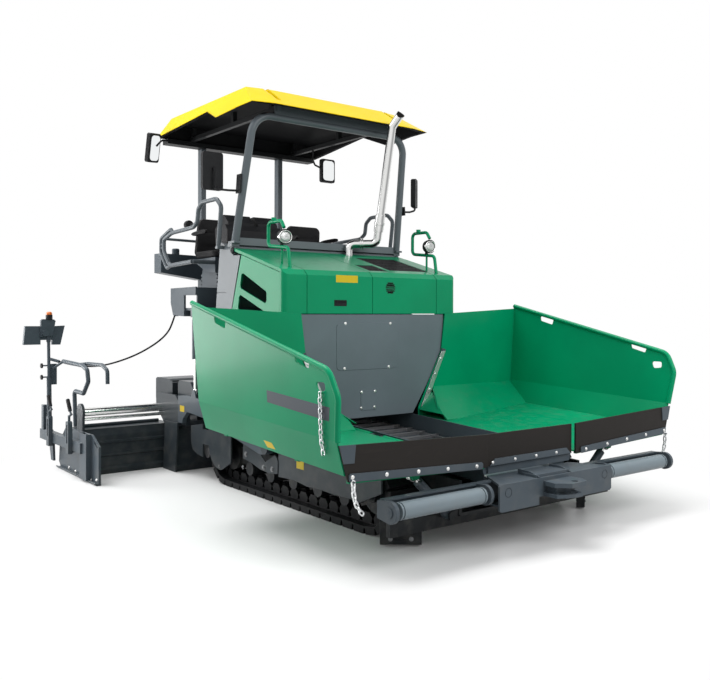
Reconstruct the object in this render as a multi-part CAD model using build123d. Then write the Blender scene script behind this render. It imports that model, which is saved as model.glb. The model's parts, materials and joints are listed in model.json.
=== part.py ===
from build123d import *
import os
from math import atan2, ceil, cos, degrees, hypot, pi, radians, sin, tan

# A compact tracked asphalt paver, parked with its hopper open and its screed down and extended.
# Millimetres. +X points forward (hopper end), +Y to the machine's left, +Z up.
# The origin is on the ground, on the centre plane, halfway along the machine.

os.makedirs("parts", exist_ok=True)

# ---------------------------------------------------------------- driving sizes
touch = 0.3               # gap left between curved pieces that lie against each other
pin_play = 0.05           # radial play of a pin in its bore

# tractor
half_width = 925          # tractor's half width over its side plates
side_plate = 14           # thickness of the outer side plates
bulkhead_x = 438          # front face of the tractor's front wall
plate = 12                # general sheet and plate thickness

# tracks
track_centre_y = 766
track_width = 260
track_radius = 250        # outside radius over the pads at both ends
sprocket_x = -458
idler_x = 1455
shoe_count = 43
pad_thickness = 38
pad_gap = 12
carrier_thickness = 12    # steel shoe under each rubber pad
link_height = 72
link_width = 34
link_spacing = 116        # between the outer faces of a chain's two rows of links

# chassis
chassis_half = 590        # half width over the two frame plates, between the tracks
chassis_front_x = 1990
chassis_rear_x = -740

# hopper
hopper_rear_x = bulkhead_x + 8
hopper_front_x = 2059
hopper_tilt = 0.049       # its lengthwise lines drop this much per millimetre forward
hinge_y = 420
floor_edge_y = 442        # inner edge of a wing's floor, outside its hinge knuckles
hinge_z = 484             # height of the wing hinges at the hopper's front
hinge_radius = 18         # outside radius of the knuckles
hinge_pin = 10            # radius of the pins
hinge_knuckles = ((500, 400), (1050, 400), (1600, 400))     # start x, length
wing_sheet = 10
wing_bottom = (1528, 552)     # y, z of the outer lower edge at the front
wing_kink = (1583, 742)       # y, z of the fold in the outer wall at the front
wing_flare = 0.085            # outward lean of the wall above the fold
wing_top_rear_z = 1500
wing_top_front = (1944, 1166)     # x, z where the straight top edge ends
wing_nose = (2105, 985)           # x, z where the rounded corner meets the front edge
rim_radius = 17
handle_slots = ((763, 919), (1708, 1858))
chain_top = (1969, 1000)          # x, z of the peg that a wing's chain hangs from
chain_foot = (1930, 622)
link_wire = 7
link_length = 30                  # inside length of a chain link
link_bore = 13                    # inside width of a chain link
chain_stand = 17                  # chain's centre line to the wall's outer face
fold_angle = 44
flap_x = hopper_front_x + 8   # back face of the wings' rubber flaps
flap_thickness = 12

# wing cylinders, standing ahead of the tracks
cylinder_x = 1935
lug_y = 940               # where the rod's eye takes the wing
lug_z = 470
lug_pin = 12
lug_bore = 24             # the open pivot: its eye is wide, for the rod drifts as the wing folds
lug_gap = 44
foot_gap = 72
barrel_foot = (640, 190)  # y, z of the barrel's lower pin
barrel_length = 345
barrel_radius = 30
rod_length = 365
rod_radius = 16

# conveyor
trough_half = 387
trough_depth = 130
slat_pitch = 160
tunnel_half = trough_half + 6
trough_rear_x = -760
trough_front_x = 2008
drop_at_rear = hopper_tilt * (hopper_front_x - trough_rear_x)

# push beam
roller_x = 2201
roller_z = 350
roller_radius = 50
roller_inner_y = 610
roller_outer_y = 1270
beam_front_x = 2285
beam_rear_x = 2040
swivel_x = 1960
swivel_pin = 24

# screed
tow_x = 325               # tow points, about which the screed lifts
tow_z = 420
arm_y = 955               # centre plane of each screed arm
arm_thickness = 40
tow_pin = 30
lift_x = -875             # lift cylinders, upright beside the platform
lift_low_z = 740
lift_top_z = 1420
lift_pin = 14
lift_bore = 24            # the open pivot: its eye is wide, for the rod drifts as the screed lifts
screed_front_x = -1210
screed_half = 988
screed_depth = 250
screed_height = 440
extension_front_x = -1500
extension_depth = 330
extension_outer_y = 1720
extension_inner_y = 870
extension_height = 400
extension_travel = 725
end_plate_thickness = 20
tube_x = -1575
tube_z = 553
tube_radius = 38
thin_rods = ((30, -62), (-30, -62))     # x and z of the thin guide rods from the thick tube
thin_radius = 12
# spindle housings of the side gates: x, foot z, head z
spindle_housings = ((-2105, 205, 478), (-1560, 205, 486))

# augers
auger_x = -945
auger_z = 300
auger_radius = 150
auger_end_y = 900
drive_half = 55           # half width of the augers' centre drive case
shaft_radius = 34
flight_turns = 3

# hood and platform
hood_half = 886
hood_front_low_z = 1427
hood_front_top_z = 1764
hood_rear_x = -200
hood_rear_z = 1928
hood_skin = 14
hood_seams = (-679, -43, 657)     # lengthwise seams between the hood's panels
seam_width = 6
# cooling grilles let into the hood's top: x from, x to, y from, y to, number of slots
hood_grille_table = ((-190, 300, 250, 700, 16), (120, 340, 5, 205, 7))
flap_front_x = 383.7
flap_low_z = 1118
flap_rear_low = (-464, flap_low_z)
louvres = [((-222, 1632), (190, 1498), 128), ((-258, 1455), (178, 1340), 128), ((-300, 1290), (165, 1205), 110)]
platform_z = 1450
platform_rear_x = -1830
step_rear_x = -1492               # rear end of the platform's wide part
step_x = -981                     # front end of its outer side board
seat_y = (-710, -270)             # a seat's outer and inner edge
tub_x = (-1871, -1717)

# covers on the tractor's front wall: y from, y to, z from, z to, corner radius
wall_covers = ((-401, 230, 981, 1356, 40), (-159, 3, 652, 805, 14))

console_covers = ((-806, -553), (-514, -320))

# route of the cable from the platform to the right control station, as chosen by eye
cable_radius = 8
cable_route = ((-1427, -893, 1405), (-1445, -911, 1327), (-1473, -938, 1249), (-1529, -994, 1171),
               (-1623, -1089, 1085), (-1718, -1186, 1020), (-1812, -1281, 973), (-1888, -1359, 943),
               (-1968, -1440, 926), (-2062, -1536, 926), (-2150, -1626, 944), (-2215, -1694, 968))

# mirrors: centre of the housing, its size, its turns, and the points of its arm
mirror_table = (
    ((-454, -1020, 2592), (46, 184, 310), (0, 0, 0),
     [(-425, -1020, 2620), (-395, -1020, 2590), (-395, -1020, 2440), (-300, -945, 2425), (-268, -874, 2425)]),
    ((-226, 985, 2562), (46, 120, 270), (0, 0, 38),
     [(-215, 985, 2480), (-215, 985, 2400), (-240, 940, 2385), (-270, 876, 2385)]),
    ((-1325, 757, 2900), (46, 170, 240), (0, 0, 180),
     [(-1340, 700, 2920), (-1340, 610, 2950), (-1340, 585, 3000), (-1340, 585, 3089.7)]),
    ((-1650, -1010, 2972), (46, 150, 270), (0, 14, 205),
     [(-1630, -985, 2990), (-1640, -940, 3040), (-1700, -890, 3068), (-1700, -840.3, 3068)]))

# canopy
canopy_front_x = 65
canopy_rear_x = -1790
canopy_half = 920
canopy_low_z = 3090
canopy_top_z = 3330
post_x = -1775
hoop_foot_z = 2004
stack_radius = 36
rail_radius = 19
post_y = 443


# ---------------------------------------------------------------- small helpers
def block(x0, x1, y0, y1, z0, z1):
    size = (abs(x1 - x0), abs(y1 - y0), abs(z1 - z0))
    return Pos((x0 + x1) / 2, (y0 + y1) / 2, (z0 + z1) / 2) * Box(*size)


def side_plate_of(points, y0, y1):
    """A plate whose outline is drawn in X and Z, from y0 to y1."""
    wire = Polyline(*[(x, y0, z) for x, z in points], close=True)
    return extrude(make_face(wire), amount=y1 - y0, dir=(0, 1, 0))


def side_shape_of(curves, y0, y1):
    """As side_plate_of, from lines and arcs drawn flat, their second coordinate being the height."""
    face = make_face(Wire([edge for curve in curves for edge in curve.edges()]))
    return extrude(Pos(0, y0, 0) * (Plane.XZ * face), amount=y1 - y0, dir=(0, 1, 0))


def cross_plate_of(points, x0, x1, drop=0.0):
    """A plate whose outline is drawn in Y and Z at x0, drawn out to x1, sinking by drop per mm."""
    wire = Polyline(*[(x0, y, z) for y, z in points], close=True)
    length = hypot(1, drop) * (x1 - x0)
    return extrude(make_face(wire), amount=length, dir=(1, 0, -drop))


def floor_plate_of(points, z0, z1):
    """A plate whose outline is drawn in X and Y, from z0 to z1."""
    wire = Polyline(*[(x, y, z0) for x, y in points], close=True)
    return extrude(make_face(wire), amount=z1 - z0, dir=(0, 0, 1))


def bent_sheet(points, thickness):
    """Outline of a bent sheet: the points, and the same bends one thickness to their left."""
    directions = []
    for (a0, b0), (a1, b1) in zip(points, points[1:]):
        length = hypot(a1 - a0, b1 - b0)
        directions.append(((a1 - a0) / length, (b1 - b0) / length))
    inner = []
    for i, (a, b) in enumerate(points):
        before = directions[max(i - 1, 0)]
        after = directions[min(i, len(directions) - 1)]
        na, nb = -(before[1] + after[1]), before[0] + after[0]
        scale = thickness * 2 / (na * na + nb * nb)
        inner.append((a + na * scale, b + nb * scale))
    return list(points) + inner[::-1]


def rod(start, end, radius):
    """A round bar between two points."""
    axis = Vector(*end) - Vector(*start)
    plane = Plane(origin=start, z_dir=axis.normalized())
    return extrude(plane * Circle(radius), amount=axis.length)


def pipe(start, end, radius, bore):
    return rod(start, end, radius) - rod(start, end, bore)


def bent_tube(points, radius, bend):
    """A round tube along straight runs joined by bends of one radius."""
    path = FilletPolyline(*points, radius=bend)
    start = Plane(origin=path @ 0, z_dir=path % 0)
    return sweep(start * Circle(radius), path=path)


def mirrored(shape):
    return mirror(shape, about=Plane.XZ)


def joined(shapes):
    whole = shapes[0]
    for shape in shapes[1:]:
        whole = whole + shape
    return whole


def save(name, shape):
    export_step(shape, f"parts/{name}.step")


def save_pair(name, right_shape):
    """Writes a piece of the machine's right side and its mirror image on the left."""
    save(name + "_right", right_shape)
    save(name + "_left", mirrored(right_shape))


def square_to_hinge(shape):
    """Leans a wing cylinder's pieces forward, so that its pins lie along the wing's hinge."""
    foot = Pos(cylinder_x, 0, barrel_foot[1])
    return foot * Rot(0, degrees(atan2(hopper_tilt, 1)), 0) * foot.inverse() * shape


def hopper_z(z_front, x):
    """Height at x of a hopper line that is z_front high at the hopper's front."""
    return z_front + hopper_tilt * (hopper_front_x - x)


# ---------------------------------------------------------------- tracks and their frames
def track_point(s, depth):
    """The point at length s along a track's outside, depth inside it, with s = 0 under the sprocket."""
    straight = idler_x - sprocket_x
    arc = pi * track_radius
    s = s % (2 * (straight + arc))
    r = track_radius - depth
    if s < straight:
        return (sprocket_x + s, depth)
    s -= straight
    if s < arc:
        a = s / track_radius
        return (idler_x + r * sin(a), track_radius - r * cos(a))
    s -= arc
    if s < straight:
        return (idler_x - s, 2 * track_radius - depth)
    a = (s - straight) / track_radius
    return (sprocket_x - r * sin(a), track_radius + r * cos(a))


def track():
    """One closed loop: rubber pads on a steel band, and two rows of chain links inside it."""
    length = 2 * (idler_x - sprocket_x + pi * track_radius)
    pitch = length / shoe_count
    outline = []
    for i in range(shoe_count):
        near, far = i * pitch, (i + 1) * pitch
        corners = [(near, pad_thickness), (near + pad_gap, pad_thickness),
                   (near + pad_gap + 6, 0), (far - 6, 0)]
        outline += [track_point(s, depth) for s, depth in corners]
    band = pad_thickness + carrier_thickness
    band_inside = [track_point(i * pitch + pad_gap / 2, band) for i in range(shoe_count)]
    y0 = -track_centre_y - track_width / 2
    loop = side_plate_of(outline, y0, y0 + track_width)
    links_outline = []
    for i in range(shoe_count):
        near = i * pitch + pad_gap / 2
        corners = [(0.14, band + 6), (0.04, band + link_height * 0.55), (0.24, band + link_height),
                   (0.72, band + link_height), (0.94, band + link_height * 0.55), (0.86, band + 6)]
        links_outline += [track_point(near + share * pitch, depth) for share, depth in corners]
    loop -= side_plate_of(band_inside, y0 - 1, y0 + track_width + 1)
    links_outside = [track_point(i * pitch + pad_gap / 2, band - 4) for i in range(shoe_count)]
    for side in (-1, 1):
        y = -track_centre_y + side * (link_spacing / 2 - link_width / 2)
        row = side_plate_of(links_outside, y - link_width / 2, y + link_width / 2)
        row -= side_plate_of(links_outline, y - link_width, y + link_width)
        loop += row
    return loop


def track_frame():
    """Side frame inside the track, with its idler, sprocket hub and five bottom rollers."""
    pitch = 2 * (idler_x - sprocket_x + pi * track_radius) / shoe_count
    inside = track_radius - pad_thickness - carrier_thickness - link_height
    wheel = inside * cos(0.24 * pitch / track_radius) - touch
    y = -track_centre_y
    beam = block(sprocket_x + 60, idler_x - 60, y - 32, y + 32, track_radius - 62, track_radius + 70)
    pieces = [beam]
    for x, radius in ((idler_x, wheel), (sprocket_x, wheel)):
        pieces.append(rod((x, y - 55, track_radius), (x, y + 55, track_radius), radius))
        pieces.append(rod((x, y - 95, track_radius), (x, y + 165, track_radius), 48))
    count = 5
    step = (idler_x - sprocket_x) / (count + 1)
    roller_z_low = pad_thickness + carrier_thickness + link_height + 55 + touch
    for i in range(count):
        x = sprocket_x + step * (i + 1)
        pieces.append(rod((x, y - 75, roller_z_low), (x, y + 75, roller_z_low), 55))
    pieces.append(block(-250, 1250, y + 30, -chassis_half, track_radius - 30, track_radius + 50))
    return joined(pieces)


# ---------------------------------------------------------------- chassis
def chassis():
    """Two long frame plates joined by a belly plate, the front beam and the rear wall."""
    profile = [(chassis_rear_x, 230), (chassis_rear_x, 1000), (bulkhead_x - 30, 1000),
               (bulkhead_x - 30, 470), (chassis_front_x, 400), (chassis_front_x, 190),
               (1850, 130), (-600, 130)]
    pieces = [side_plate_of(profile, -chassis_half, -chassis_half + 25)]
    pieces.append(side_plate_of(profile, chassis_half - 25, chassis_half))
    pieces.append(block(-600, 1850, -chassis_half + 10, chassis_half - 10, 130, 142))
    pieces.append(block(1850, chassis_front_x, -chassis_half + 10, chassis_half - 10, 180, 200))
    # front cross beam that carries the track deflectors
    pieces.append(block(1852, 1890, -1060, 1060, 100, 190))
    # rear wall, open where the conveyor leaves the tunnel
    rear = block(chassis_rear_x, chassis_rear_x + 16, -chassis_half + 10, chassis_half - 10, 230, 1000)
    rear -= block(chassis_rear_x - 5, chassis_rear_x + 25, -tunnel_half - 4, tunnel_half + 4, 300, 660)
    pieces.append(rear)
    pieces.append(block(bulkhead_x - 42, bulkhead_x - 30, -chassis_half + 10, chassis_half - 10, 640, 1000))
    for x in (1500, 700, -100):
        pieces.append(block(x, x + 40, -chassis_half + 10, chassis_half - 10, 142, 240))
    # bearers under the engine
    for x in (-280, 240):
        pieces.append(block(x, x + 60, -chassis_half + 10, chassis_half - 10, 960, 1010 - touch))
    # fork of the push beam's swivel
    pieces.append(block(1870, 1984, -120, 120, 200, 307))
    pieces.append(block(1870, 1984, -120, 120, 337, 351))
    pieces.append(block(1870, 1892, -120, 120, 306, 338))
    pieces.append(rod((swivel_x, 0, 300), (swivel_x, 0, 340), swivel_pin))
    for shape in (track_deflector(), wing_cylinder_foot()):
        pieces += [shape, mirrored(shape)]
    pieces.append(auger_support())
    # bearers under the conveyor's trough
    for x in (-500, 560, 1300):
        top = hopper_z(hinge_z + 14 - trough_depth - 10, x)
        pieces.append(cross_plate_of([(-chassis_half + 10, top - 30), (chassis_half - 10, top - 30),
                                      (chassis_half - 10, top), (-chassis_half + 10, top)], x, x + 40, hopper_tilt))
    return joined(pieces)


def track_deflector():
    """Bolted guard block ahead of each track, with its face turned outward and two long recesses."""
    centre = Pos(1800, -900, 88) * Rot(0, 0, -38)
    profile = [(0, -70), (0, 70), (-12, 76), (-60, 76), (-60, -76), (-12, -76)]
    guard = centre * extrude(Pos(0, 128, 0) * (Plane.XZ * make_face(Polyline(*profile, close=True))), amount=256,
                             dir=(0, -1, 0))
    for z in (-34, 0, 34):
        guard -= centre * Pos(0, 0, z) * Box(12, 150, 14)
    return guard + block(1770, 1852, -960, -830, 100, 165)


# ---------------------------------------------------------------- side plates
def lower_side_plate():
    """Outer skirt over the track's upper run, with its rounded tail, tow point plate and auger end plate."""
    y0 = -half_width
    tail = Polyline((-300, 430), (-300, 207), (-465, 127))
    arc = ThreePointArc((-465, 127), (-632, 190), (-690, 330))
    rest = Polyline((-690, 330), (-690, 1010), (-480, 1100), (400, 1100), (400, 500), (1640, 450), (1640, 300),
                    (1420, 206), (1290, 212), (1110, 206), (960, 214), (810, 206), (640, 224), (430, 215),
                    (430, 400), (-110, 400), (-110, 430), (-300, 430))
    skirt = side_shape_of([tail, arc, rest], y0, y0 + side_plate)
    # stays that carry the skirt on the chassis, above the track
    for x in (-520, 100, 340):
        skirt += block(x, x + 30, y0 + side_plate - 1, -chassis_half, 640, 760)
    # end plate of the auger's space, with the bearing of the auger's outer end
    end = [(-1022, 437), (-1022, 300), (-989, 230), (-900, 200), (-797, 191), (-797, 476)]
    skirt += side_plate_of(end, y0, y0 + side_plate)
    skirt += side_plate_of([(-798, 430), (-798, 300), (-680, 300), (-680, 430)], y0, y0 + side_plate)
    skirt += rod((auger_x, y0 + side_plate, auger_z), (auger_x, -auger_end_y - touch, auger_z), shaft_radius - 4)
    return skirt + tow_point()


# ---------------------------------------------------------------- hood
def side_profile_z(x):
    """Height of the hood's top edge at x."""
    slope = (hood_rear_z - hood_front_top_z) / (395 - hood_rear_x)
    return hood_front_top_z + slope * (395 - x)


def hood():
    """Front and top of the engine hood, hollow, open below and at the side flaps."""
    outer = [(bulkhead_x, hood_front_low_z), (bulkhead_x, 1722), (395, hood_front_top_z),
             (hood_rear_x, hood_rear_z), (-335, 1962), (-335, 1900), (flap_rear_low[0], hood_front_low_z - 290),
             (bulkhead_x, hood_front_low_z - 290)]
    body = side_plate_of(outer, -hood_half, hood_half)
    body = fillet([e for e in body.edges().filter_by(Axis.Z) if e.center().X > bulkhead_x - 1], 46)
    inside = [(bulkhead_x - hood_skin, 1080), (bulkhead_x - hood_skin, 1722 - 8), (388, hood_front_top_z - hood_skin),
              (hood_rear_x, hood_rear_z - hood_skin), (-330, 1945), (-600, 1080)]
    body -= side_plate_of(inside, -hood_half + hood_skin + 26, hood_half - hood_skin - 26)
    body -= side_plate_of([(bulkhead_x + 50, 1000), (bulkhead_x + 50, hood_front_low_z),
                           (flap_front_x + 4, hood_front_low_z), (flap_front_x + 4, 1000)], -2000, 2000)
    for side in (-1, 1):
        wall = sorted((side * (hood_half + 5), side * (hood_half - 46)))
        cut = [(flap_front_x + touch, 1000), (flap_front_x + touch, side_profile_z(flap_front_x + touch) - 26),
               (hood_rear_x - 200, side_profile_z(hood_rear_x - 200) - 26), (-700, 1000)]
        body -= side_plate_of(cut, *wall)
    for y in hood_seams:
        groove = [(bulkhead_x + 1, hood_front_low_z - 1), (bulkhead_x + 1, 1723), (396, hood_front_top_z + 3),
                  (hood_rear_x, hood_rear_z + 3), (hood_rear_x, hood_rear_z - 5), (392, hood_front_top_z - 5),
                  (bulkhead_x - 5, 1719), (bulkhead_x - 5, hood_front_low_z - 1)]
        body -= side_plate_of(groove, y - seam_width / 2, y + seam_width / 2)
    latch = block(bulkhead_x - hood_skin + 3, bulkhead_x + 1, -422, -301, 1487, 1531)
    body -= fillet(latch.edges().filter_by(Axis.X), 9)
    for step in range(-2, 3):
        half = (50 ** 2 - (18 * step) ** 2) ** 0.5 - 6
        z = 1639 + 18 * step
        body -= block(bulkhead_x - hood_skin - 4, bulkhead_x + 1, 145 - half, 145 + half, z - 4, z + 4)
    for x0, x1, y0, y1, bars in hood_grille_table:
        body -= grille_slab(x0, x1, y0, y1, 30, 30)
    return body


def grille_slab(x0, x1, y0, y1, above, below):
    """Slab that follows the hood's sloping top."""
    outline = [(x0, side_profile_z(x0) + above), (x1, side_profile_z(x1) + above), (x1, side_profile_z(x1) - below),
               (x0, side_profile_z(x0) - below)]
    return side_plate_of(outline, y0, y1)


def hood_grilles():
    """The slotted grilles let into the hood's top."""
    grilles = []
    for x0, x1, y0, y1, bars in hood_grille_table:
        slab = grille_slab(x0 + touch, x1 - touch, y0 + touch, y1 - touch, -3, hood_skin)
        pitch = (x1 - x0 - 30) / bars
        for i in range(bars):
            x = x0 + 20 + i * pitch
            slab -= block(x, x + pitch * 0.6, y0 + 20, y1 - 20, 1600, 2100)
        grilles.append(slab)
    return Compound(grilles)


def side_flap():
    """Side flap of the hood with three rounded louvre openings and a thicker rim."""
    y0 = -hood_half
    top = 30
    outline = [(flap_front_x, flap_low_z), (flap_front_x, side_profile_z(flap_front_x) - top),
               (hood_rear_x, hood_rear_z - top), (-345, 1485), flap_rear_low]
    flap = side_plate_of(outline, y0, y0 + 30)
    inner = [(flap_front_x - 40, flap_low_z + 30), (flap_front_x - 40, side_profile_z(flap_front_x - 40) - top - 40),
             (hood_rear_x + 25, hood_rear_z - top - 50), (-300, 1485), (-410, flap_low_z + 30)]
    flap -= side_plate_of(inner, y0 + 10, y0 + 31)
    for rear_low, front_low, height in louvres:
        (xr, zr), (xf, zf) = rear_low, front_low
        corners = [(xr, zr), (xf, zf), (xf, zf + height * 0.75), (xr + 25, zr + height)]
        wire = FilletPolyline(*[(x, y0 - 5, z) for x, z in corners], radius=26, close=True)
        flap -= extrude(make_face(wire), amount=40, dir=(0, 1, 0))
    return flap


def side_panel():
    """Grey panel that closes the tractor's side between the hood and the platform."""
    y0 = -hood_half
    outline = [(hood_rear_x - 6, hood_rear_z + 16), (-560, 2022), (-628, 1515), (-672, 1110), (-474, 1110),
               (-355, 1485)]
    panel = side_plate_of(outline, y0, y0 + 26)
    panel -= rod((-343, y0 - 1, 1936), (-343, y0 + 12, 1936), 24)
    return panel - block(-640, -455, y0 - 1, y0 + 8, 1597, 1603)


# ---------------------------------------------------------------- front wall of the tractor
def bulkhead():
    """Front wall between the hopper wings, tapering down to the conveyor."""
    outline = [(-tunnel_half, 596), (-735, 1108), (-735, hood_front_low_z - 6), (735, hood_front_low_z - 6),
               (735, 1108), (tunnel_half, 596)]
    wall = cross_plate_of(outline, bulkhead_x - 30, bulkhead_x)
    for y0, y1, z0, z1, corner in wall_covers:
        cover = block(bulkhead_x - 1, bulkhead_x + 3, y0, y1, z0, z1)
        wall += fillet(cover.edges().filter_by(Axis.X), corner)
    return wall


def engine():
    return block(-330, 330, -330, 330, 1010, 1600)


# ---------------------------------------------------------------- conveyor
def conveyor_trough():
    """Floor and walls of the conveyor, from the hopper's front back to the augers."""
    z_floor_front = hinge_z + 14 - trough_depth
    sheet = 10
    floor = cross_plate_of([(-tunnel_half, z_floor_front - sheet + drop_at_rear), (tunnel_half, z_floor_front - sheet
                            + drop_at_rear), (tunnel_half, z_floor_front + drop_at_rear),
                            (-tunnel_half, z_floor_front + drop_at_rear)], trough_rear_x, trough_front_x,
                           hopper_tilt)
    pieces = [floor]
    for side in (-1, 1):
        ys = sorted((side * trough_half, side * tunnel_half))
        z0 = z_floor_front - sheet + drop_at_rear
        z1 = hinge_z + 24 + drop_at_rear
        wall = cross_plate_of([(ys[0], z0), (ys[1], z0), (ys[1], z1), (ys[0], z1)], trough_rear_x,
                              trough_front_x, hopper_tilt)
        pieces.append(wall)
        flange = sorted((side * trough_half, side * (trough_half + 13)))
        z2 = hopper_z(hinge_z + 24, bulkhead_x)
        pieces.append(cross_plate_of([(flange[0], z2 - 6), (flange[1], z2 - 6), (flange[1], z2), (flange[0], z2)],
                                     bulkhead_x, trough_front_x, hopper_tilt))
    pieces.append(centre_rail())
    pieces += [wing_hinge_pins(), mirrored(wing_hinge_pins())]
    return joined(pieces)


def conveyor_slats():
    """Slat bars and the two chains that draw the mix back along the trough's floor."""
    z_front = hinge_z + 14 - trough_depth
    pieces = []
    count = int((trough_front_x - trough_rear_x - 100) / slat_pitch)
    for i in range(count):
        x = trough_rear_x + 60 + i * slat_pitch
        z = hopper_z(z_front, x)
        pieces.append(block(x, x + 30, -trough_half + 8, trough_half - 8, z + touch, z + 26))
    for y in (-330, 330):
        z0 = z_front + drop_at_rear
        chain = cross_plate_of([(y - 14, z0 + 1), (y + 14, z0 + 1), (y + 14, z0 + 22), (y - 14, z0 + 22)],
                               trough_rear_x + 20, trough_front_x - 20, hopper_tilt)
        pieces.append(chain)
    return joined(pieces)


# ---------------------------------------------------------------- hopper wings
def wing_outline(y0, y1):
    """Side outline of a wing, with its straight falling top edge and its rounded front corner."""
    falling = (wing_top_front[0] - hopper_rear_x, wing_top_front[1] - wing_top_rear_z)
    line = Polyline((hopper_front_x, 400), (hopper_rear_x, 400), (hopper_rear_x, wing_top_rear_z), wing_top_front)
    corner = TangentArc(wing_top_front, wing_nose, tangent=falling)
    front = Polyline(wing_nose, (hopper_front_x + 8, wing_kink[1]), (hopper_front_x, 400))
    return side_shape_of([line, corner, front], y0, y1)


def wing():
    """Right hopper wing: floor, folded outer wall, rear wall and the slope at its foot."""
    lift = hopper_tilt * (hopper_front_x - hopper_rear_x)
    top_z = wing_top_rear_z - lift + 40
    bends = [(-wing_kink[0] - wing_flare * (top_z - wing_kink[1]), top_z), (-wing_kink[0], wing_kink[1]),
             (-wing_bottom[0], wing_bottom[1]), (-floor_edge_y, hinge_z)]
    section = [(y, z + lift) for y, z in bent_sheet(bends, wing_sheet)]
    reach = 80
    shell = cross_plate_of(section, hopper_rear_x, hopper_front_x + reach, hopper_tilt)
    shell = shell & wing_outline(-2000, 0)
    # rear wall, with its inner edge following the tractor's front wall
    rear_points = [(-floor_edge_y, hinge_z + lift + 4), (-floor_edge_y, 640), (-700, 1108), (-742, 1429), (-1632, 1476),
                   (-wing_kink[0] - wing_flare * (1476 - wing_kink[1] - lift) + 2, 1476),
                   (-wing_kink[0] + 2, wing_kink[1] + lift), (-wing_bottom[0] + 3, wing_bottom[1] + lift + 3)]
    rear_points.pop(4)
    rear_wall = cross_plate_of(rear_points, hopper_rear_x, hopper_rear_x + wing_sheet)
    # slope from the rear wall down to the floor
    run = 330
    foot = hopper_z(hinge_z, hopper_rear_x + run)
    slope_section = [(hopper_rear_x + 4, 812), (hopper_rear_x + run, foot + 20), (hopper_rear_x + run, foot + 6),
                     (hopper_rear_x + 4, 798)]
    slope_panel = side_plate_of(slope_section, -1600, -470)
    inside = cross_plate_of([(-wing_kink[0] - 30, wing_kink[1] + lift + 200), (-wing_kink[0] + 4, wing_kink[1] + lift),
                             (-wing_bottom[0] + 4, wing_bottom[1] + lift), (-hinge_y, hinge_z + lift),
                             (-hinge_y, hinge_z + 40 + lift), (-602, 800), (-610, wing_kink[1] + lift + 200)],
                            hopper_rear_x, hopper_front_x, hopper_tilt)
    slope_panel = slope_panel & inside
    gusset = [(hopper_rear_x + 20, -587, 761), (752, -446, 606), (hopper_rear_x + 20, -446, 618)]
    gusset_plate = extrude(make_face(Polyline(*gusset, close=True)), amount=6)
    for x0, x1 in handle_slots:
        shell -= handle_slot(x0, x1)
    latch = FilletPolyline((1905, -2000, 1058), (1996, -2000, 1058), (1996, -2000, 1012), (1925, -2000, 1006),
                           radius=16, close=True)
    shell -= extrude(make_face(latch), amount=500, dir=(0, 1, 0))
    whole = shell + rear_wall + slope_panel + gusset_plate
    return whole + wing_rim() + wing_underside() + flap_rail() + chain_peg()


def handle_slot(x0, x1):
    """Hand hole through the outer wall just below the rim."""
    slope = (wing_top_front[1] - wing_top_rear_z) / (wing_top_front[0] - hopper_rear_x)
    top0 = wing_top_rear_z + slope * (x0 - hopper_rear_x) - rim_radius
    top1 = wing_top_rear_z + slope * (x1 - hopper_rear_x) - rim_radius
    wire = FilletPolyline((x0, -2000, top0), (x1, -2000, top1), (x1 - 12, -2000, top1 - 46),
                          (x0 + 12, -2000, top0 - 46), radius=15, close=True)
    return extrude(make_face(wire), amount=500, dir=(0, 1, 0))


def wall_y(x, z):
    """Outside of the right wing's outer wall, above the fold."""
    return -wing_kink[0] - wing_flare * (z - hopper_z(wing_kink[1], x))


def wing_rim():
    """Rolled rim along the wing's top edge and down its front edge."""
    corner = [(hopper_rear_x + 2, wing_top_rear_z), wing_top_front, wing_nose, (hopper_front_x + 8, wing_kink[1])]
    points = [(x, wall_y(x, z) + wing_sheet / 2, z) for x, z in corner]
    bend = (wing_top_front[0] + 92, 1127)
    points[1] = (bend[0], wall_y(*bend) + wing_sheet / 2, bend[1])
    return bent_tube(points, rim_radius, 100)


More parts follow.
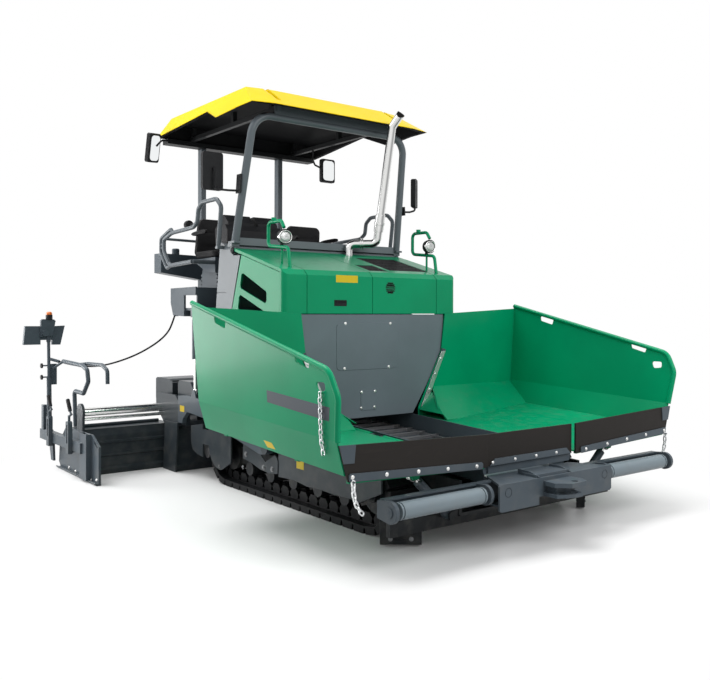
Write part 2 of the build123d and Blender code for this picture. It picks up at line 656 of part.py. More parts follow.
def wing_underside():
    """Hinge knuckles, two ribs, the front rail and the lug for the wing's cylinder."""
    pieces = []
    for x, length in hinge_knuckles:
        start = (x, -hinge_y, hopper_z(hinge_z, x))
        end = (x + length, -hinge_y, hopper_z(hinge_z, x + length))
        leaf = cross_plate_of([(-floor_edge_y - 60, start[2] + 6), (-hinge_y - hinge_radius / 2, start[2] - 2),
                               (-hinge_y - hinge_radius / 2, start[2] + 8), (-floor_edge_y - 60, start[2] + 12)],
                              x, x + length, hopper_tilt)
        knuckle = rod(start, end, hinge_radius) + leaf
        knuckle -= rod((x - 5, -hinge_y, hopper_z(hinge_z, x - 5)),
                       (x + length + 5, -hinge_y, hopper_z(hinge_z, x + length + 5)), hinge_pin + pin_play)
        pieces.append(knuckle)
    rib_top = hinge_z + 4
    for x in (620, 1500):
        z = hopper_z(rib_top, x)
        rise = (wing_bottom[1] - hinge_z) / (wing_bottom[0] - floor_edge_y)
        pieces.append(cross_plate_of([(-1480, z + rise * (1480 - floor_edge_y)), (-1480, z - 30 + rise * 1060),
                                      (-1000, z - 30 + rise * 560), (-floor_edge_y - 4, z - 20),
                                      (-floor_edge_y - 4, z)], x, x + 40, hopper_tilt))
    for x in (cylinder_x - lug_gap / 2 - 14, cylinder_x + lug_gap / 2):
        z = hopper_z(hinge_z, x) + rise * (lug_y - floor_edge_y)
        ear = cross_plate_of([(-lug_y - 55, z + 5), (-lug_y - 22, lug_z - 20), (-lug_y + 22, lug_z - 20),
                              (-lug_y + 55, z - 1)], x, x + 14)
        pieces.append(square_to_hinge(ear))
    ends = (cylinder_x - lug_gap / 2 - 14, cylinder_x + lug_gap / 2 + 14)
    pieces.append(square_to_hinge(rod((ends[0], -lug_y, lug_z), (ends[1], -lug_y, lug_z), lug_pin)))
    return joined(pieces)


def wing_hinge_pins():
    """Pins that stand in the wing's knuckles, held in brackets on the trough's wall."""
    pieces = []
    for x, length in hinge_knuckles:
        start_x, end_x = x - 34, x + length + 34
        pieces.append(rod((start_x, -hinge_y, hopper_z(hinge_z, start_x)),
                          (end_x, -hinge_y, hopper_z(hinge_z, end_x)), hinge_pin))
        for side_x in (start_x, end_x - 24):
            z = hopper_z(hinge_z, side_x)
            pieces.append(cross_plate_of([(-hinge_y - 14, z - 16), (-hinge_y - 14, z + 4), (-hinge_y + 14, z + 4),
                                          (-tunnel_half - touch, z - 10), (-tunnel_half - touch, z - 60),
                                          (-hinge_y, z - 60)], side_x, side_x + 24, hopper_tilt))
    return joined(pieces)


def wing_flap():
    """Rubber flap across the front of a wing, with its slanted outer end."""
    x = flap_x
    return cross_plate_of([(-1572, 722), (-432, 682), (-432, 478), (-1512, 520)], x, x + flap_thickness)


def flap_clamp():
    """Steel strip that clamps the flap, and the rail behind it on the wing's floor."""
    x = flap_x + flap_thickness
    strip = cross_plate_of([(-1502, 520), (-1510, 532), (-1512, 555), (-1504, 566), (-492, 518), (-480, 508),
                            (-480, 483), (-490, 474)], x, x + 8)
    strip += rod((x + 7, -1490, 520), (x + 8 + 2 * link_wire + 8, -1490, 520), link_wire * 0.7)
    corner = cross_plate_of([(-1574, 724), (-1545, 622), (-1474, 619), (-1464, 720)], x, x + 6)
    return Compound([strip, corner, seal_strip()])


def flap_rail():
    """Angle under the floor's front edge that the flap and its clamp are bolted to."""
    x = hopper_front_x
    return cross_plate_of([(-1500, 508), (-1500, 556), (-452, 492), (-452, 470)], x - 14, flap_x)


def centre_flap():
    x = hopper_front_x - 12
    flap = cross_plate_of([(-412, 678), (412, 678), (412, 478), (-412, 478)], x, x + flap_thickness)
    return flap


def centre_clamp():
    x = hopper_front_x
    return cross_plate_of([(-395, 480), (-350, 522), (350, 522), (395, 480)], x, x + 8)


def centre_rail():
    x = hopper_front_x - 12
    return block(x - 44, x, -tunnel_half, tunnel_half, 428, 500)


def chain_peg():
    """Peg on the outer wall that a chain hangs from."""
    x, z = chain_top
    y = chain_y(x, z)
    return rod((x, y - link_wire, z), (x, y + chain_stand + wing_sheet / 2, z), link_wire * 0.7)


def chain_y(x, z):
    """Centre of the chain, which lies just outside the outer wall and over its fold."""
    fold_z = hopper_z(wing_kink[1], x)
    if z > fold_z:
        return wall_y(x, z) - chain_stand
    lean = (wing_kink[0] - wing_bottom[0]) / (wing_kink[1] - wing_bottom[1])
    return -wing_kink[0] - chain_stand + (fold_z - z) * lean


def chain(points, first_facing):
    """Oval links strung along a path, each a quarter turn from the last; the first one's hole faces one way."""
    path = Polyline(*points)
    pitch = link_length - touch
    count = int((path.length - link_length) / pitch)
    ring = SlotOverall(link_length + 2 * link_wire, link_bore + 2 * link_wire) - SlotOverall(link_length, link_bore)
    link = extrude(ring, amount=link_wire / 2, both=True)
    links = []
    for i in range(count + 1):
        share = (link_length / 2 - link_wire * 0.7 - touch + i * pitch) / path.length
        along = path % share
        across = along.cross(Vector(*first_facing)).normalized()
        if i % 2 == 0:
            across = along.cross(across)
        links.append(Plane(origin=path @ share, x_dir=along, z_dir=across) * link)
    return links


def wing_chains():
    """The chain on the outer wall, and the short loose one on the end of the flap's clamp."""
    (x0, z0), (x1, z1) = chain_top, chain_foot
    fold = ((x0 + x1) / 2, hopper_z(wing_kink[1], (x0 + x1) / 2))
    path = [(x, chain_y(x, z), z) for x, z in ((x0, z0), (fold[0], fold[1] + 4), (x1, z1))]
    x = flap_x + flap_thickness + 8 + link_wire / 2 + 4
    loose = [(x, -1490, 520), (x, -1487, 460), (x, -1479, 421), (x, -1463, 384), (x, -1439, 352), (x, -1417, 332)]
    return Compound(chain(path, (0, 1, 0)) + chain(loose, (1, 0, 0)))


def seal_strip():
    """Bolted strip along the rear wall's inner edge that seals against the tractor's front wall."""
    x = hopper_rear_x + wing_sheet
    return cross_plate_of([(-462, 640), (-696, 1108), (-706, 1132), (-745, 1120), (-745, 1108), (-512, 640)],
                          x, x + 8)


def wing_cylinder():
    """Barrel and rod of a wing's cylinder, as two pieces."""
    foot = Vector(cylinder_x, -barrel_foot[0], barrel_foot[1])
    eye = Vector(cylinder_x, -lug_y, lug_z)
    along = (eye - foot).normalized()
    barrel_end = foot + along * barrel_length
    barrel = rod(foot + along * 20, barrel_end, barrel_radius)
    barrel += rod(foot - Vector(30, 0, 0), foot + Vector(30, 0, 0), 28)
    barrel -= rod(foot - Vector(40, 0, 0), foot + Vector(40, 0, 0), lug_pin + pin_play)
    barrel -= rod(foot + along * 34, barrel_end + along * 10, rod_radius + pin_play)
    shaft = rod(eye - along * rod_length, eye, rod_radius)
    shaft += rod(eye - Vector(18, 0, 0), eye + Vector(18, 0, 0), lug_bore + 12)
    shaft -= rod(eye - Vector(30, 0, 0), eye + Vector(30, 0, 0), lug_bore)
    return square_to_hinge(barrel), square_to_hinge(shaft)


def wing_cylinder_foot():
    """Clevis on the chassis that carries the barrel's lower pin."""
    y, z = barrel_foot
    half = foot_gap / 2
    pieces = [rod((cylinder_x - half - 6, -y, z), (cylinder_x + half + 6, -y, z), lug_pin)]
    for x in (cylinder_x - half - 12, cylinder_x + half):
        pieces.append(cross_plate_of([(-y - 26, z + 12), (-y - 10, z + 28), (-chassis_half + 1, z + 40),
                                      (-chassis_half + 1, z + 2), (-y - 20, z - 26)], x, x + 12))
    return square_to_hinge(joined(pieces))


# ---------------------------------------------------------------- push beam
def push_beam():
    """Box beam with end arms, pushed by the lorry's wheels through two rollers."""
    y = 545
    front = cross_plate_of([(-y, 262), (-y, 405), (-y + 10, 415), (y - 10, 415), (y, 405), (y, 262), (y - 16, 250),
                            (70, 250), (70, 300), (-190, 300), (-190, 250), (-y + 16, 250)],
                           beam_front_x - 14, beam_front_x)
    front -= rod((beam_front_x - 3, -470, 362), (beam_front_x + 3, -470, 362), 30) - rod(
        (beam_front_x - 3, -470, 362), (beam_front_x + 3, -470, 362), 25)
    front -= rod((beam_front_x - 3, 470, 362), (beam_front_x + 3, 470, 362), 30) - rod(
        (beam_front_x - 3, 470, 362), (beam_front_x + 3, 470, 362), 25)
    top = floor_plate_of([(beam_front_x - 14, -y + 10), (beam_front_x - 14, y - 10), (beam_rear_x, 400),
                          (beam_rear_x, -400)], 401, 415)
    bottom = block(beam_rear_x, beam_front_x - 14, -440, -200, 250, 262)
    bottom += block(beam_rear_x, beam_front_x - 14, 90, 440, 250, 262)
    back = block(beam_rear_x, beam_rear_x + 14, -400, 400, 250, 405)
    # tail about whose hole the beam swivels
    tail = block(swivel_x, beam_rear_x + 7, -60, 60, 310, 334) + Pos(swivel_x, 0, 322) * Cylinder(60, 24)
    tail -= Pos(swivel_x, 0, 322) * Cylinder(swivel_pin + pin_play, 40)
    pieces = [front, top, back, bottom, tail, tow_tongue(), latch_bar()]
    # rail behind each roller, with the end arms that carry its shaft
    for side in (-1, 1):
        inner, outer = roller_inner_y - 42, roller_outer_y + 56
        ys = sorted((side * 300, side * outer))
        rail = cross_plate_of([(ys[0], 308), (ys[0], 402), (ys[1], 402), (ys[1], 308)], roller_x - 105, roller_x - 81)
        pieces.append(rail + block(roller_x - 105, roller_x - 62, ys[0] + 20, ys[1] - 20, 396, 408))
        for y0, y1 in ((inner, inner + 24), (outer - 24, outer)):
            ys = sorted((side * y0, side * y1))
            arm = Polyline((roller_x, roller_z + 62), (roller_x - 105, roller_z + 52), (roller_x - 105, roller_z - 46),
                           (roller_x, roller_z - 62))
            head = ThreePointArc((roller_x, roller_z - 62), (roller_x + 62, roller_z), (roller_x, roller_z + 62))
            pieces.append(side_shape_of([arm, head], ys[0], ys[1]))
        pieces.append(rod((roller_x, side * (inner + 5), roller_z), (roller_x, side * (outer + 7), roller_z), 14))
        neck = rod((roller_x, side * (inner + 23), roller_z), (roller_x, side * (roller_inner_y - 6), roller_z), 40)
        pieces.append(neck)
        pieces.append(rod((roller_x, side * (outer - 1), roller_z), (roller_x, side * (outer + 6), roller_z), 30))
    return joined(pieces)


def latch_bar():
    """Flat latch bar and its ribs on top of the beam's middle."""
    plate_points = [(beam_front_x - 20, -200), (beam_front_x - 20, 130), (2150, 130), (2110, 90), (2110, -160), (2150, -200)]
    bar = floor_plate_of(plate_points, 414, 432)
    for y in (-190, 112):
        bar += side_plate_of([(2110, 414), (beam_front_x - 4, 414), (beam_front_x - 4, 424), (2200, 446), (2110, 446)],
                             y, y + 12)
    return bar


def push_roller():
    """Tube roller with grooved ends, turning on the beam's shaft."""
    roller = rod((roller_x, -roller_outer_y, roller_z), (roller_x, -roller_inner_y, roller_z), roller_radius)
    for y in (-roller_inner_y - 22, -roller_outer_y + 10):
        ring = rod((roller_x, y, roller_z), (roller_x, y + 10, roller_z), roller_radius + 2)
        roller -= ring - rod((roller_x, y, roller_z), (roller_x, y + 10, roller_z), roller_radius - 6)
    roller -= rod((roller_x, -roller_outer_y - 5, roller_z), (roller_x, -roller_inner_y + 5, roller_z), 14 + pin_play)
    return roller


def tow_tongue():
    """Six-sided towing jaw standing out of the beam's middle."""
    upper = floor_plate_of([(beam_front_x - 1, -150), (beam_front_x - 1, 100), (2380, 110), (2450, 60), (2450, -80),
                            (2380, -160)], 366, 394)
    upper -= rod((2405, 0, 360), (2405, 0, 400), 22)
    lower = floor_plate_of([(beam_front_x - 13, -150), (beam_front_x - 13, 70), (2390, 60), (2440, 36), (2440, -40),
                            (2390, -150)], 300, 322)
    lower -= rod((2405, 0, 290), (2405, 0, 330), 22)
    web = block(beam_front_x - 1, 2360, -120, 60, 321, 367)
    return upper + web + lower


# ---------------------------------------------------------------- rear body and platform
def rear_body():
    """Tanks and drive housings behind the engine, under the platform."""
    profile = [(-720, 1015), (-720, 1380), (-700, platform_z - touch), (-400, platform_z - touch), (-400, 1015)]
    body = side_plate_of(profile, -780, 780)
    body += block(-700, 400, -880, -600, 770, 1000)
    body += block(-700, 400, 600, 880, 770, 1000)
    body += block(-700, -400, -780, 780, 1000, 1020)
    return body


def cowl():
    """Grey rear part of the hood: cross wall, side panels and the beam between the hoop's feet."""
    profile = [(-560, platform_z + 24), (-560, 2018), (-400, 2000), (-345, 1975), (-345, 1880),
               (-420, platform_z + 24)]
    body = side_plate_of(profile, -hood_half + 26, hood_half - 26)
    body += side_panel() + mirrored(side_panel())
    body -= hood()
    body -= block(-420, -280, -910, 910, hoop_foot_z, hoop_foot_z + 100)
    for y in (-864, 864):
        body += block(-404, -296, y - 36, y + 36, 1975, hoop_foot_z)
    body -= block(hood_rear_x - 135, 0, -910, 910, 1900, hoop_foot_z + 20)
    return body + block(-400, -336, -826, 826, 1990, 2052)


def platform():
    """Floor of the operator's platform, its side boards with the step's notch, and the bearers under it."""
    half = hood_half
    middle = post_y + 40
    floor = floor_plate_of([(-680, -half), (step_rear_x, -half), (step_rear_x, -middle), (platform_rear_x, -middle),
                            (platform_rear_x, middle), (step_rear_x, middle), (step_rear_x, half), (-680, half)],
                           platform_z, platform_z + 24)
    pieces = [floor, block(-681, -400, -half + 28, half - 28, platform_z, platform_z + 24)]
    board = [(step_rear_x, 1655), (step_x, 1661), (step_x, 1585), (-1210, 1588), (-1209, 1398), (-1440, 1406),
             (step_rear_x, 1521)]
    side = side_plate_of(board, -half - 18, -half + touch)
    side += block(step_x - 16, step_x, -half - 1, -600, platform_z + 10, 1655)
    side += block(-1262, -1209, -half - 1, -half + 60, 1398, platform_z + 2)
    # gland of the screed's cable, on a lug at the board's lower corner
    start, onward = Vector(*cable_route[0]), Vector(*cable_route[1])
    passage = rod(start, start + (onward - start) * 0.8, cable_radius + touch)
    pieces += [side - passage, mirrored(side), cable_gland() - passage]
    for sign in (-1, 1):
        ys = sorted((sign * 380, sign * 430))
        pieces.append(block(platform_rear_x + 30, -720, ys[0], ys[1], platform_z - 90, platform_z + 1))
    pieces += [lift_bracket(), mirrored(lift_bracket())]
    return joined(pieces)


def cable_gland():
    """Lug and round gland from which the screed's cable leaves the platform."""
    start = Vector(*cable_route[0])
    back = (start - Vector(*cable_route[1])).normalized()
    return rod(start, start + back * 46, 15) + block(-1446, -1392, -hood_half - 1, -hood_half + 14, 1398, platform_z + 2)


def seat_box():
    """A seat's wedge-shaped base over its bellows, and the console box at the platform's rear corner."""
    y0, y1 = seat_y
    edge = [(-hood_half - 14, 1996), (-post_y - 25 - touch, 1986), (-post_y - 25 - touch, 1752), (-hood_half - 14, 1812)]
    tub = cross_plate_of(edge, *tub_x)
    knob = rod((-1760, y0 - 20, 1985), (-1760, y0 - 20, 2050), 36)
    knob = fillet(knob.edges().sort_by(Axis.Z)[-1], 14)
    base = side_plate_of([(-1400, 1925), (-1400, 1905), (-1150, 1800), (-985, 1790), (-985, 1931)], y0, y1)
    ribs = []
    z = platform_z + 40
    while z < 1785:
        ribs += [(-1010, z), (-1040, z + 14), (-1010, z + 28)]
        z += 34
    back = [(-1320 - (-1010 - x), z) for x, z in ribs]
    bellows = side_plate_of(ribs + [(-1020, 1800), (-1310, 1840)] + [(x, z) for x, z in back[::-1]], y0 + 40, y1 - 40)
    foot = block(-1340, -1000, y0 + 20, y1 - 20, platform_z + 24, platform_z + 42)
    return Compound([tub + knob, base + bellows + foot])


def seat():
    """Cushion, rounded backrest, armrests and a round pad behind the shoulder."""
    y0, y1 = seat_y
    pan = block(-1400, -1000, y0, y1, 1931 + touch, 2000)
    pan = fillet(pan.edges().filter_by(Axis.Z), 60)
    outline = [(y0 + 10, 1940), (y0, 2040), (y0 + 30, 2300), (y0 + 70, 2318), (y1 - 70, 2318), (y1 - 30, 2300), (y1, 2040),
               (y1 - 10, 1940)]
    back = Pos(-1400, 0, 1940) * Rot(0, -7, 0) * Pos(1400, 0, -1940) * cross_plate_of(outline, -1400, -1330)
    shape = pan + back
    for y in (y0 - 36, y1 + 6):
        shape += side_plate_of([(-1410, 2145), (-1410, 2175), (-1120, 2190), (-1100, 2170), (-1120, 2150)], y, y + 30)
    shape += block(-1410, -1375, y0 - 20, y1 + 20, 2146, 2170)
    pad = rod((-1570, y0 + 10, 2262), (-1510, y0 + 10, 2262), 44)
    return shape + pad + rod((-1511, y0 + 10, 2262), (-1400, y0 + 60, 2262), 12)


def side_rail():
    """Bent handrail around a seat's outer side, with a second loop behind it joined by rungs."""
    y = -hood_half - 39
    front = [(-517, 1984), (-468, 2314), (-552, 2386), (-814, 2382), (-887, 2331), (-905, 2225), (-979, 2181),
             (-1429, 2164), (-1597, 2114), (-1596, 2006), (-1470, 1866), (-1000, 1882)]
    rail = bent_tube([(x, y, z) for x, z in front], rail_radius, 40)
    rear = [(-1429, 2164), (-1440, 2204), (-1664, 2130), (-1668, 1996), (-1530, 1842), (-1470, 1866)]
    rail += bent_tube([(x, y, z) for x, z in rear], rail_radius - 4, 22)
    for z in (2040, 2075):
        rail += rod((-1668, y, z), (-1597, y, z), 8)
    # bar in to the roof's post, the rail's foot, and the seats of its two lower ends
    rail += rod((-1655, y, 2128), (post_x + 30, -post_y - 28, 2128), rail_radius - 6)
    rail += block(-540, -494, y - 20, -hood_half, 1962, 1990)
    rail += block(tub_x[1], -1664, y - 8, y + 45, 1965, 1985)
    return rail + rod((-1000, y, 1882), (-1000, seat_y[0] - touch, 1882), rail_radius)


def control_console():
    """Main console across the front of the platform, with its two raised covers."""
    body = side_plate_of([(-730, 2018), (-740, 2150), (-700, 2178), (-560, 2178), (-520, 2130), (-520, 2018)], -840, -300)
    for y0, y1 in console_covers:
        cover = side_plate_of([(-750, 2170), (-740, 2262), (-650, 2270), (-575, 2205), (-560, 2170)], y0, y1)
        body += chamfer(cover.edges().filter_by(Axis.X), 10)
    return body + block(-700, -600, -640, -560, platform_z + 24, 2019)


# ---------------------------------------------------------------- canopy
def roof_plan(rise, inset):
    """Outline of the roof shell at a height over its low edge, drawn in by an inset."""
    front = canopy_front_x - 1.59 * rise - inset
    half = canopy_half - 0.637 * rise - inset
    rear = canopy_rear_x + 0.34 * rise + inset
    points = [(rear, -half), (front - 44, -half), (front, 190 - half), (front, half - 190), (front - 44, half),
              (rear, half)]
    return Pos(0, 0, canopy_low_z + rise) * make_face(Polyline(*[(x, y) for x, y in points], close=True))


def canopy():
    """Roof shell, hollow from below, with a sloping fascia, raised side bands and cut-out side skirts."""
    low = canopy_low_z
    shell = loft([roof_plan(-34, 0), roof_plan(200, 0)], ruled=True)
    shell += loft([roof_plan(199, 0), roof_plan(canopy_top_z - low, -120)], ruled=True) & block(
        -1900, 200, -600, 600, low, canopy_top_z)
    shell -= loft([roof_plan(-35, 40), roof_plan(129, 40)], ruled=True)
    # shallow field between two raised bands, across the fascia and the top
    for side in (-1, 1):
        ys = sorted((side * 610, side * 650))
        shell -= side_plate_of([(-340, low + 260), (canopy_front_x + 100, low + 36), (canopy_front_x + 100, low - 10),
                                (-380, low + 186)], *ys) & block(-380, 200, -700, 700, low + 36, low + 300)
    # the skirt is cut away between the front corner and the rear
    skirt_cut = [(canopy_rear_x - 40, low - 70), (canopy_rear_x - 40, low + 5), (-845, low + 88), (-545, low - 30),
                 (-200, low - 5), (canopy_front_x + 60, low), (canopy_front_x + 60, low - 70)]
    shell -= side_plate_of(skirt_cut, -1000, 1000)
    return shell


def canopy_hoop():
    """Front hoop, leaning forward, with its two bolted feet."""
    path = FilletPolyline((-345, -864, hoop_foot_z + 6), (-158, -795, 3045), (-158, 795, 3045),
                          (-345, 864, hoop_foot_z + 6), radius=170)
    start = Plane(origin=path @ 0, x_dir=(1, 0, 0), z_dir=path % 0)
    hoop = sweep(start * Circle(32), path=path)
    for y in (-864, 864):
        hoop += block(-400, -300, y - 34, y + 34, hoop_foot_z, hoop_foot_z + 16)
    return hoop


def canopy_posts():
    """Rear posts, with the rear rail and side rails that carry the roof."""
    pieces = []
    ceiling = canopy_low_z + 129
    for side in (-1, 1):
        y = side * post_y
        pieces.append(block(post_x - 38, post_x + 38, y - 25, y + 25, platform_z + 24, 3060))
        ys = sorted((side * 560, side * 600))
        pieces.append(block(canopy_rear_x + 60, -120, ys[0], ys[1], 3090, 3130))
        for x in (canopy_rear_x + 90, -900, -250):
            pieces.append(block(x, x + 40, ys[0], ys[1], 3129, ceiling))
    pieces.append(block(post_x - 40, canopy_rear_x + 92, -840, 840, 3045, 3091))
    pieces.append(block(-190, -126, -620, 620, 3060, 3130))
    return joined(pieces)


def on_hood(shape):
    """Cuts away whatever reaches below the hood's top."""
    top = [(bulkhead_x - 43, hood_front_top_z), (hood_rear_x, hood_rear_z), (hood_rear_x - 135, 1962.3),
           (hood_rear_x - 135, 1500), (bulkhead_x - 43, 1500)]
    return shape - side_plate_of(top, -1000, 1000)


def mirrors():
    """Four mirrors on bent arms: two clamped to the hoop's legs and two under the roof."""
    pieces = []
    for centre, size, turns, arm in mirror_table:
        housing = Box(*size)
        housing = fillet(housing.edges().filter_by(Axis.X), 22)
        housing = chamfer(housing.faces().sort_by(Axis.X)[0].edges(), 8)
        pieces.append(Pos(*centre) * Rot(*turns) * housing + bent_tube(arm, 9, 24))
    for i, z0, z1 in ((0, 2405, 2560), (1, 2350, 2430)):
        side = (-1, 1)[i]
        edge = [(side * (leg_outside_y(z) + touch + depth), z) for z, depth in ((z0, 0), (z0, 12), (z1, 12), (z1, 0))]
        pieces[i] += cross_plate_of(edge, -305, -235)
    return Compound(pieces)


def leg_outside_y(z):
    """Outermost y of the hoop's left leg at height z."""
    return 864 - 69 * (z - hoop_foot_z - 6) / (3045 - hoop_foot_z - 6) + 32.1


def exhaust():
    """Polished stack with its elbow, two flange discs and a heat shield, rising past the roof's front edge."""
    stack = bent_tube([(-285, 255, 1880), (-285, 255, 2052), (-110, 440, 2052), (118, 425, 3055), (205, 455, 3160)],
                      stack_radius, 60)
    along = Vector(106, 111, 0).normalized()
    for reach in (6, 24):
        centre = Vector(-216, 329, 2052) + along * reach
        stack += rod(centre, centre + along * 8, stack_radius + 16)
    rise = Vector(228, -15, 1003).normalized()
    shield = Vector(-110, 440, 2052) + rise * 110
    stack += rod(shield, shield + rise * 150, stack_radius + 7)
    strap = shield + rise * 60
    return on_hood(stack + rod(strap, strap + rise * 22, stack_radius + 11))


def lamp_guard():
    """Bent tube guard round a work lamp, standing on the hood, with its lamp's stalk and a small cap."""
    y = -760
    guard = bent_tube([(330, y, 1760), (300, y, 1935), (10, y, 1965), (10, y, 2150), (200, y, 2150), (240, y, 2092)],
                      14, 40)
    guard += rod((205, y + 4, 1700), (205, y + 4, 1948), 9)
    guard += rod((90, y, 2160), (90, y, 2182), 20)
    return on_hood(guard)


def work_lamp():
    """Round lamp with a dished body and a bezel, on a fork over its stalk."""
    outline = [(0, 0), (0, 40), (10, 52), (40, 60), (58, 60), (58, 54), (52, 52), (52, 0)]
    face = make_face(Polyline(*[(r, 0, x) for x, r in outline], close=True))
    body = revolve(face, axis=Axis.Z)
    lamp = Pos(196, -756, 2024) * Rot(0, 94, 0) * body
    lamp += rod((200, -756, 1948.3), (205, -756, 1985), 14)
    lamp += rod((170, -756, 2024), (200, -756, 2024), 18)
    return lamp - lamp_guard()


# ---------------------------------------------------------------- augers
def auger():
    """Shaft with a helical flight, whose flat facets join radial sections a few degrees apart."""
    shaft = rod((auger_x, -auger_end_y, auger_z), (auger_x, -drive_half - touch, auger_z), shaft_radius)
    flight_length = auger_end_y - drive_half - 60
    steps = flight_turns * 20
    sections = []
    for i in range(steps + 1):
        angle = 2 * pi * i / 20
        centre = Vector(auger_x, -drive_half - 30 - flight_length * i / steps, auger_z)
        outward = Vector(cos(angle), 0, sin(angle))
        side = Vector(0, 7, 0)
        near, far = centre + outward * (shaft_radius - 8), centre + outward * auger_radius
        sections.append((near + side, far + side, far - side, near - side))
    faces = [flat_face(sections[0]), flat_face(sections[-1])]
    for a, b in zip(sections, sections[1:]):
        for i in range(4):
            j = (i + 1) % 4
            faces += [flat_face((a[i], a[j], b[j])), flat_face((a[i], b[j], b[i]))]
    flight = Solid(Shell(faces))
    return shaft + flight


def flat_face(corners):
    """Face between the given corners."""
    return Face(Wire.make_polygon(corners, close=True))


def auger_support():
    """Centre drive case and the beam that hangs the augers behind the tractor."""
    case = block(auger_x - 70, auger_x + 70, -drive_half, drive_half, auger_z - 110, 700)
    beam = block(auger_x - 60, chassis_rear_x, -560, 560, 660, 760)
    return case + beam


# ---------------------------------------------------------------- screed
def screed_arm():
    """Arm from the tow point back to the screed, with the ears that take the lift cylinder's rod."""
    y0, y1 = -arm_y - arm_thickness / 2, -arm_y + arm_thickness / 2
    outline = [(-1180, 450), (-1180, 690), (-1000, 705), (-700, 690), (250, 480), (370, 470), (370, 380), (250, 360),
               (-700, 540), (-1000, 560), (-1075, 500), (-1095, 450)]
    arm = side_plate_of(outline, y0, y1)
    ear = [(lift_x - 48, 695), (lift_x - 20, lift_low_z + 20), (lift_x + 20, lift_low_z + 20), (lift_x + 48, 690)]
    arm += side_plate_of(ear, y0, y0 + 12) + side_plate_of(ear, y1 - 12, y1)
    arm += rod((lift_x, y0, lift_low_z), (lift_x, y1, lift_low_z), lift_pin)
    arm -= block(lift_x - 46, lift_x + 46, y0 + 12, y1 - 12, lift_low_z - lift_bore - 22, lift_low_z) - rod(
        (lift_x, y0, lift_low_z), (lift_x, y1, lift_low_z), lift_pin)
    arm -= rod((tow_x, y0 - 5, tow_z), (tow_x, y1 + 5, tow_z), tow_pin + pin_play)
    return arm


def tow_point():
    """Shaped plate on the tractor's side and the pin that pulls the screed arm."""
    y0 = -half_width
    plate_points = [(-90, 423), (-90, 279), (40, 262), (170, 232), (300, 222), (425, 234), (430, 330), (390, 372),
                    (250, 300), (200, 330), (140, 378), (78, 408)]
    bracket = side_plate_of(plate_points, y0 - 5, y0 + 1)
    pin = rod((tow_x, -arm_y - 34, tow_z), (tow_x, y0 + 1, tow_z), tow_pin)
    return bracket + pin + rod((tow_x, -arm_y - 34, tow_z), (tow_x, -arm_y - 24, tow_z), 48)


def lift_cylinder():
    """Barrel and rod of a lift cylinder, as two pieces."""
    y = -arm_y
    barrel = rod((lift_x, y, lift_top_z - 48), (lift_x, y, 1030), 30)
    barrel += rod((lift_x, y - 13, lift_top_z), (lift_x, y + 13, lift_top_z), 30)
    barrel += block(lift_x - 22, lift_x + 22, y - 13, y + 13, lift_top_z - 50, lift_top_z)
    barrel -= rod((lift_x, y - 20, lift_top_z), (lift_x, y + 20, lift_top_z), lift_pin + pin_play)
    barrel -= rod((lift_x, y, lift_top_z - 62), (lift_x, y, 1020), 14 + pin_play)
    shaft = rod((lift_x, y, 1130), (lift_x, y, lift_low_z + lift_bore + 5), 14)
    shaft += rod((lift_x, y - 7, lift_low_z), (lift_x, y + 7, lift_low_z), lift_bore + 10)
    shaft -= rod((lift_x, y - 20, lift_low_z), (lift_x, y + 20, lift_low_z), lift_bore)
    return barrel, shaft


def lift_bracket():
    """Clevis beside the platform that carries a lift cylinder's barrel."""
    low = lift_top_z - 28
    bracket = block(lift_x - 40, lift_x + 40, -arm_y + 16, -hood_half + 1, low, platform_z + 20)
    bracket += block(lift_x - 40, lift_x + 40, -arm_y - 28, -arm_y - 16, low, platform_z + 20)
    bracket += block(lift_x - 40, lift_x + 40, -arm_y - 28, -hood_half + 1, platform_z + 8, platform_z + 20)
    return bracket + rod((lift_x, -arm_y - 20, lift_top_z), (lift_x, -arm_y + 20, lift_top_z), lift_pin)


def screed_base():
    """Main screed: body, smoothing plate, end walls, tube guides, covers and the shoulders over its arms."""
    inner = screed_half - 16
    profile = [(screed_front_x - 20, 0), (screed_front_x - 6, 60), (screed_front_x - 30, 200),
               (screed_front_x - 30, 380), (screed_front_x - 110, 430), (screed_front_x - 230, 430),
               (screed_front_x - 250, 60), (screed_front_x - 240, 0)]
    body = side_plate_of(profile, -inner, inner)
    wall = [(screed_front_x, 0), (screed_front_x + 42, 447), (screed_front_x - 225, 440),
            (screed_front_x - 256, 0)]
    body += side_plate_of(wall, -screed_half, -inner)
    body += side_plate_of(wall, inner, screed_half)
    # arms' seats
    for side in (-1, 1):
        ys = sorted((side * (arm_y - 20), side * (arm_y - 60)))
        body += block(screed_front_x - 200, -1100, ys[0], ys[1], 425, 640)
    # guide housing of the extension tubes, under a lid with a rounded top
    housing = block(tube_x - 60, tube_x + 60, -900, 900, 458, 640) - block(tube_x - 48, tube_x + 48, -901, 901, 470, 628)
    body += housing + block(tube_x + 59, screed_front_x - 150, -700, 700, 420, 560)
    lid = side_plate_of([(-1840, 610), (-1840, 800), (-1810, 812), (-1540, 812), (-1470, 780), (-1470, 610)], -895, 895)
    body += fillet(lid.edges().filter_by(Axis.Y).sort_by(Axis.Z)[-2:], 24) - block(-1825, -1485, -880, 880, 600, 795)
    for side in (-1, 1):
        ys = sorted((side * 900, side * 860))
        body += block(tube_x - 59, tube_x + 59, ys[0], ys[1], 460, 639)
        ys = sorted((side * (arm_y + 11), side * (arm_y - 9)))
        body += shoulder_plate(ys[0], ys[1])
        ys = sorted((side * 640, side * 905))
        body += pump_box(ys[0], ys[1])
        body -= guide_bores(side)
    return body


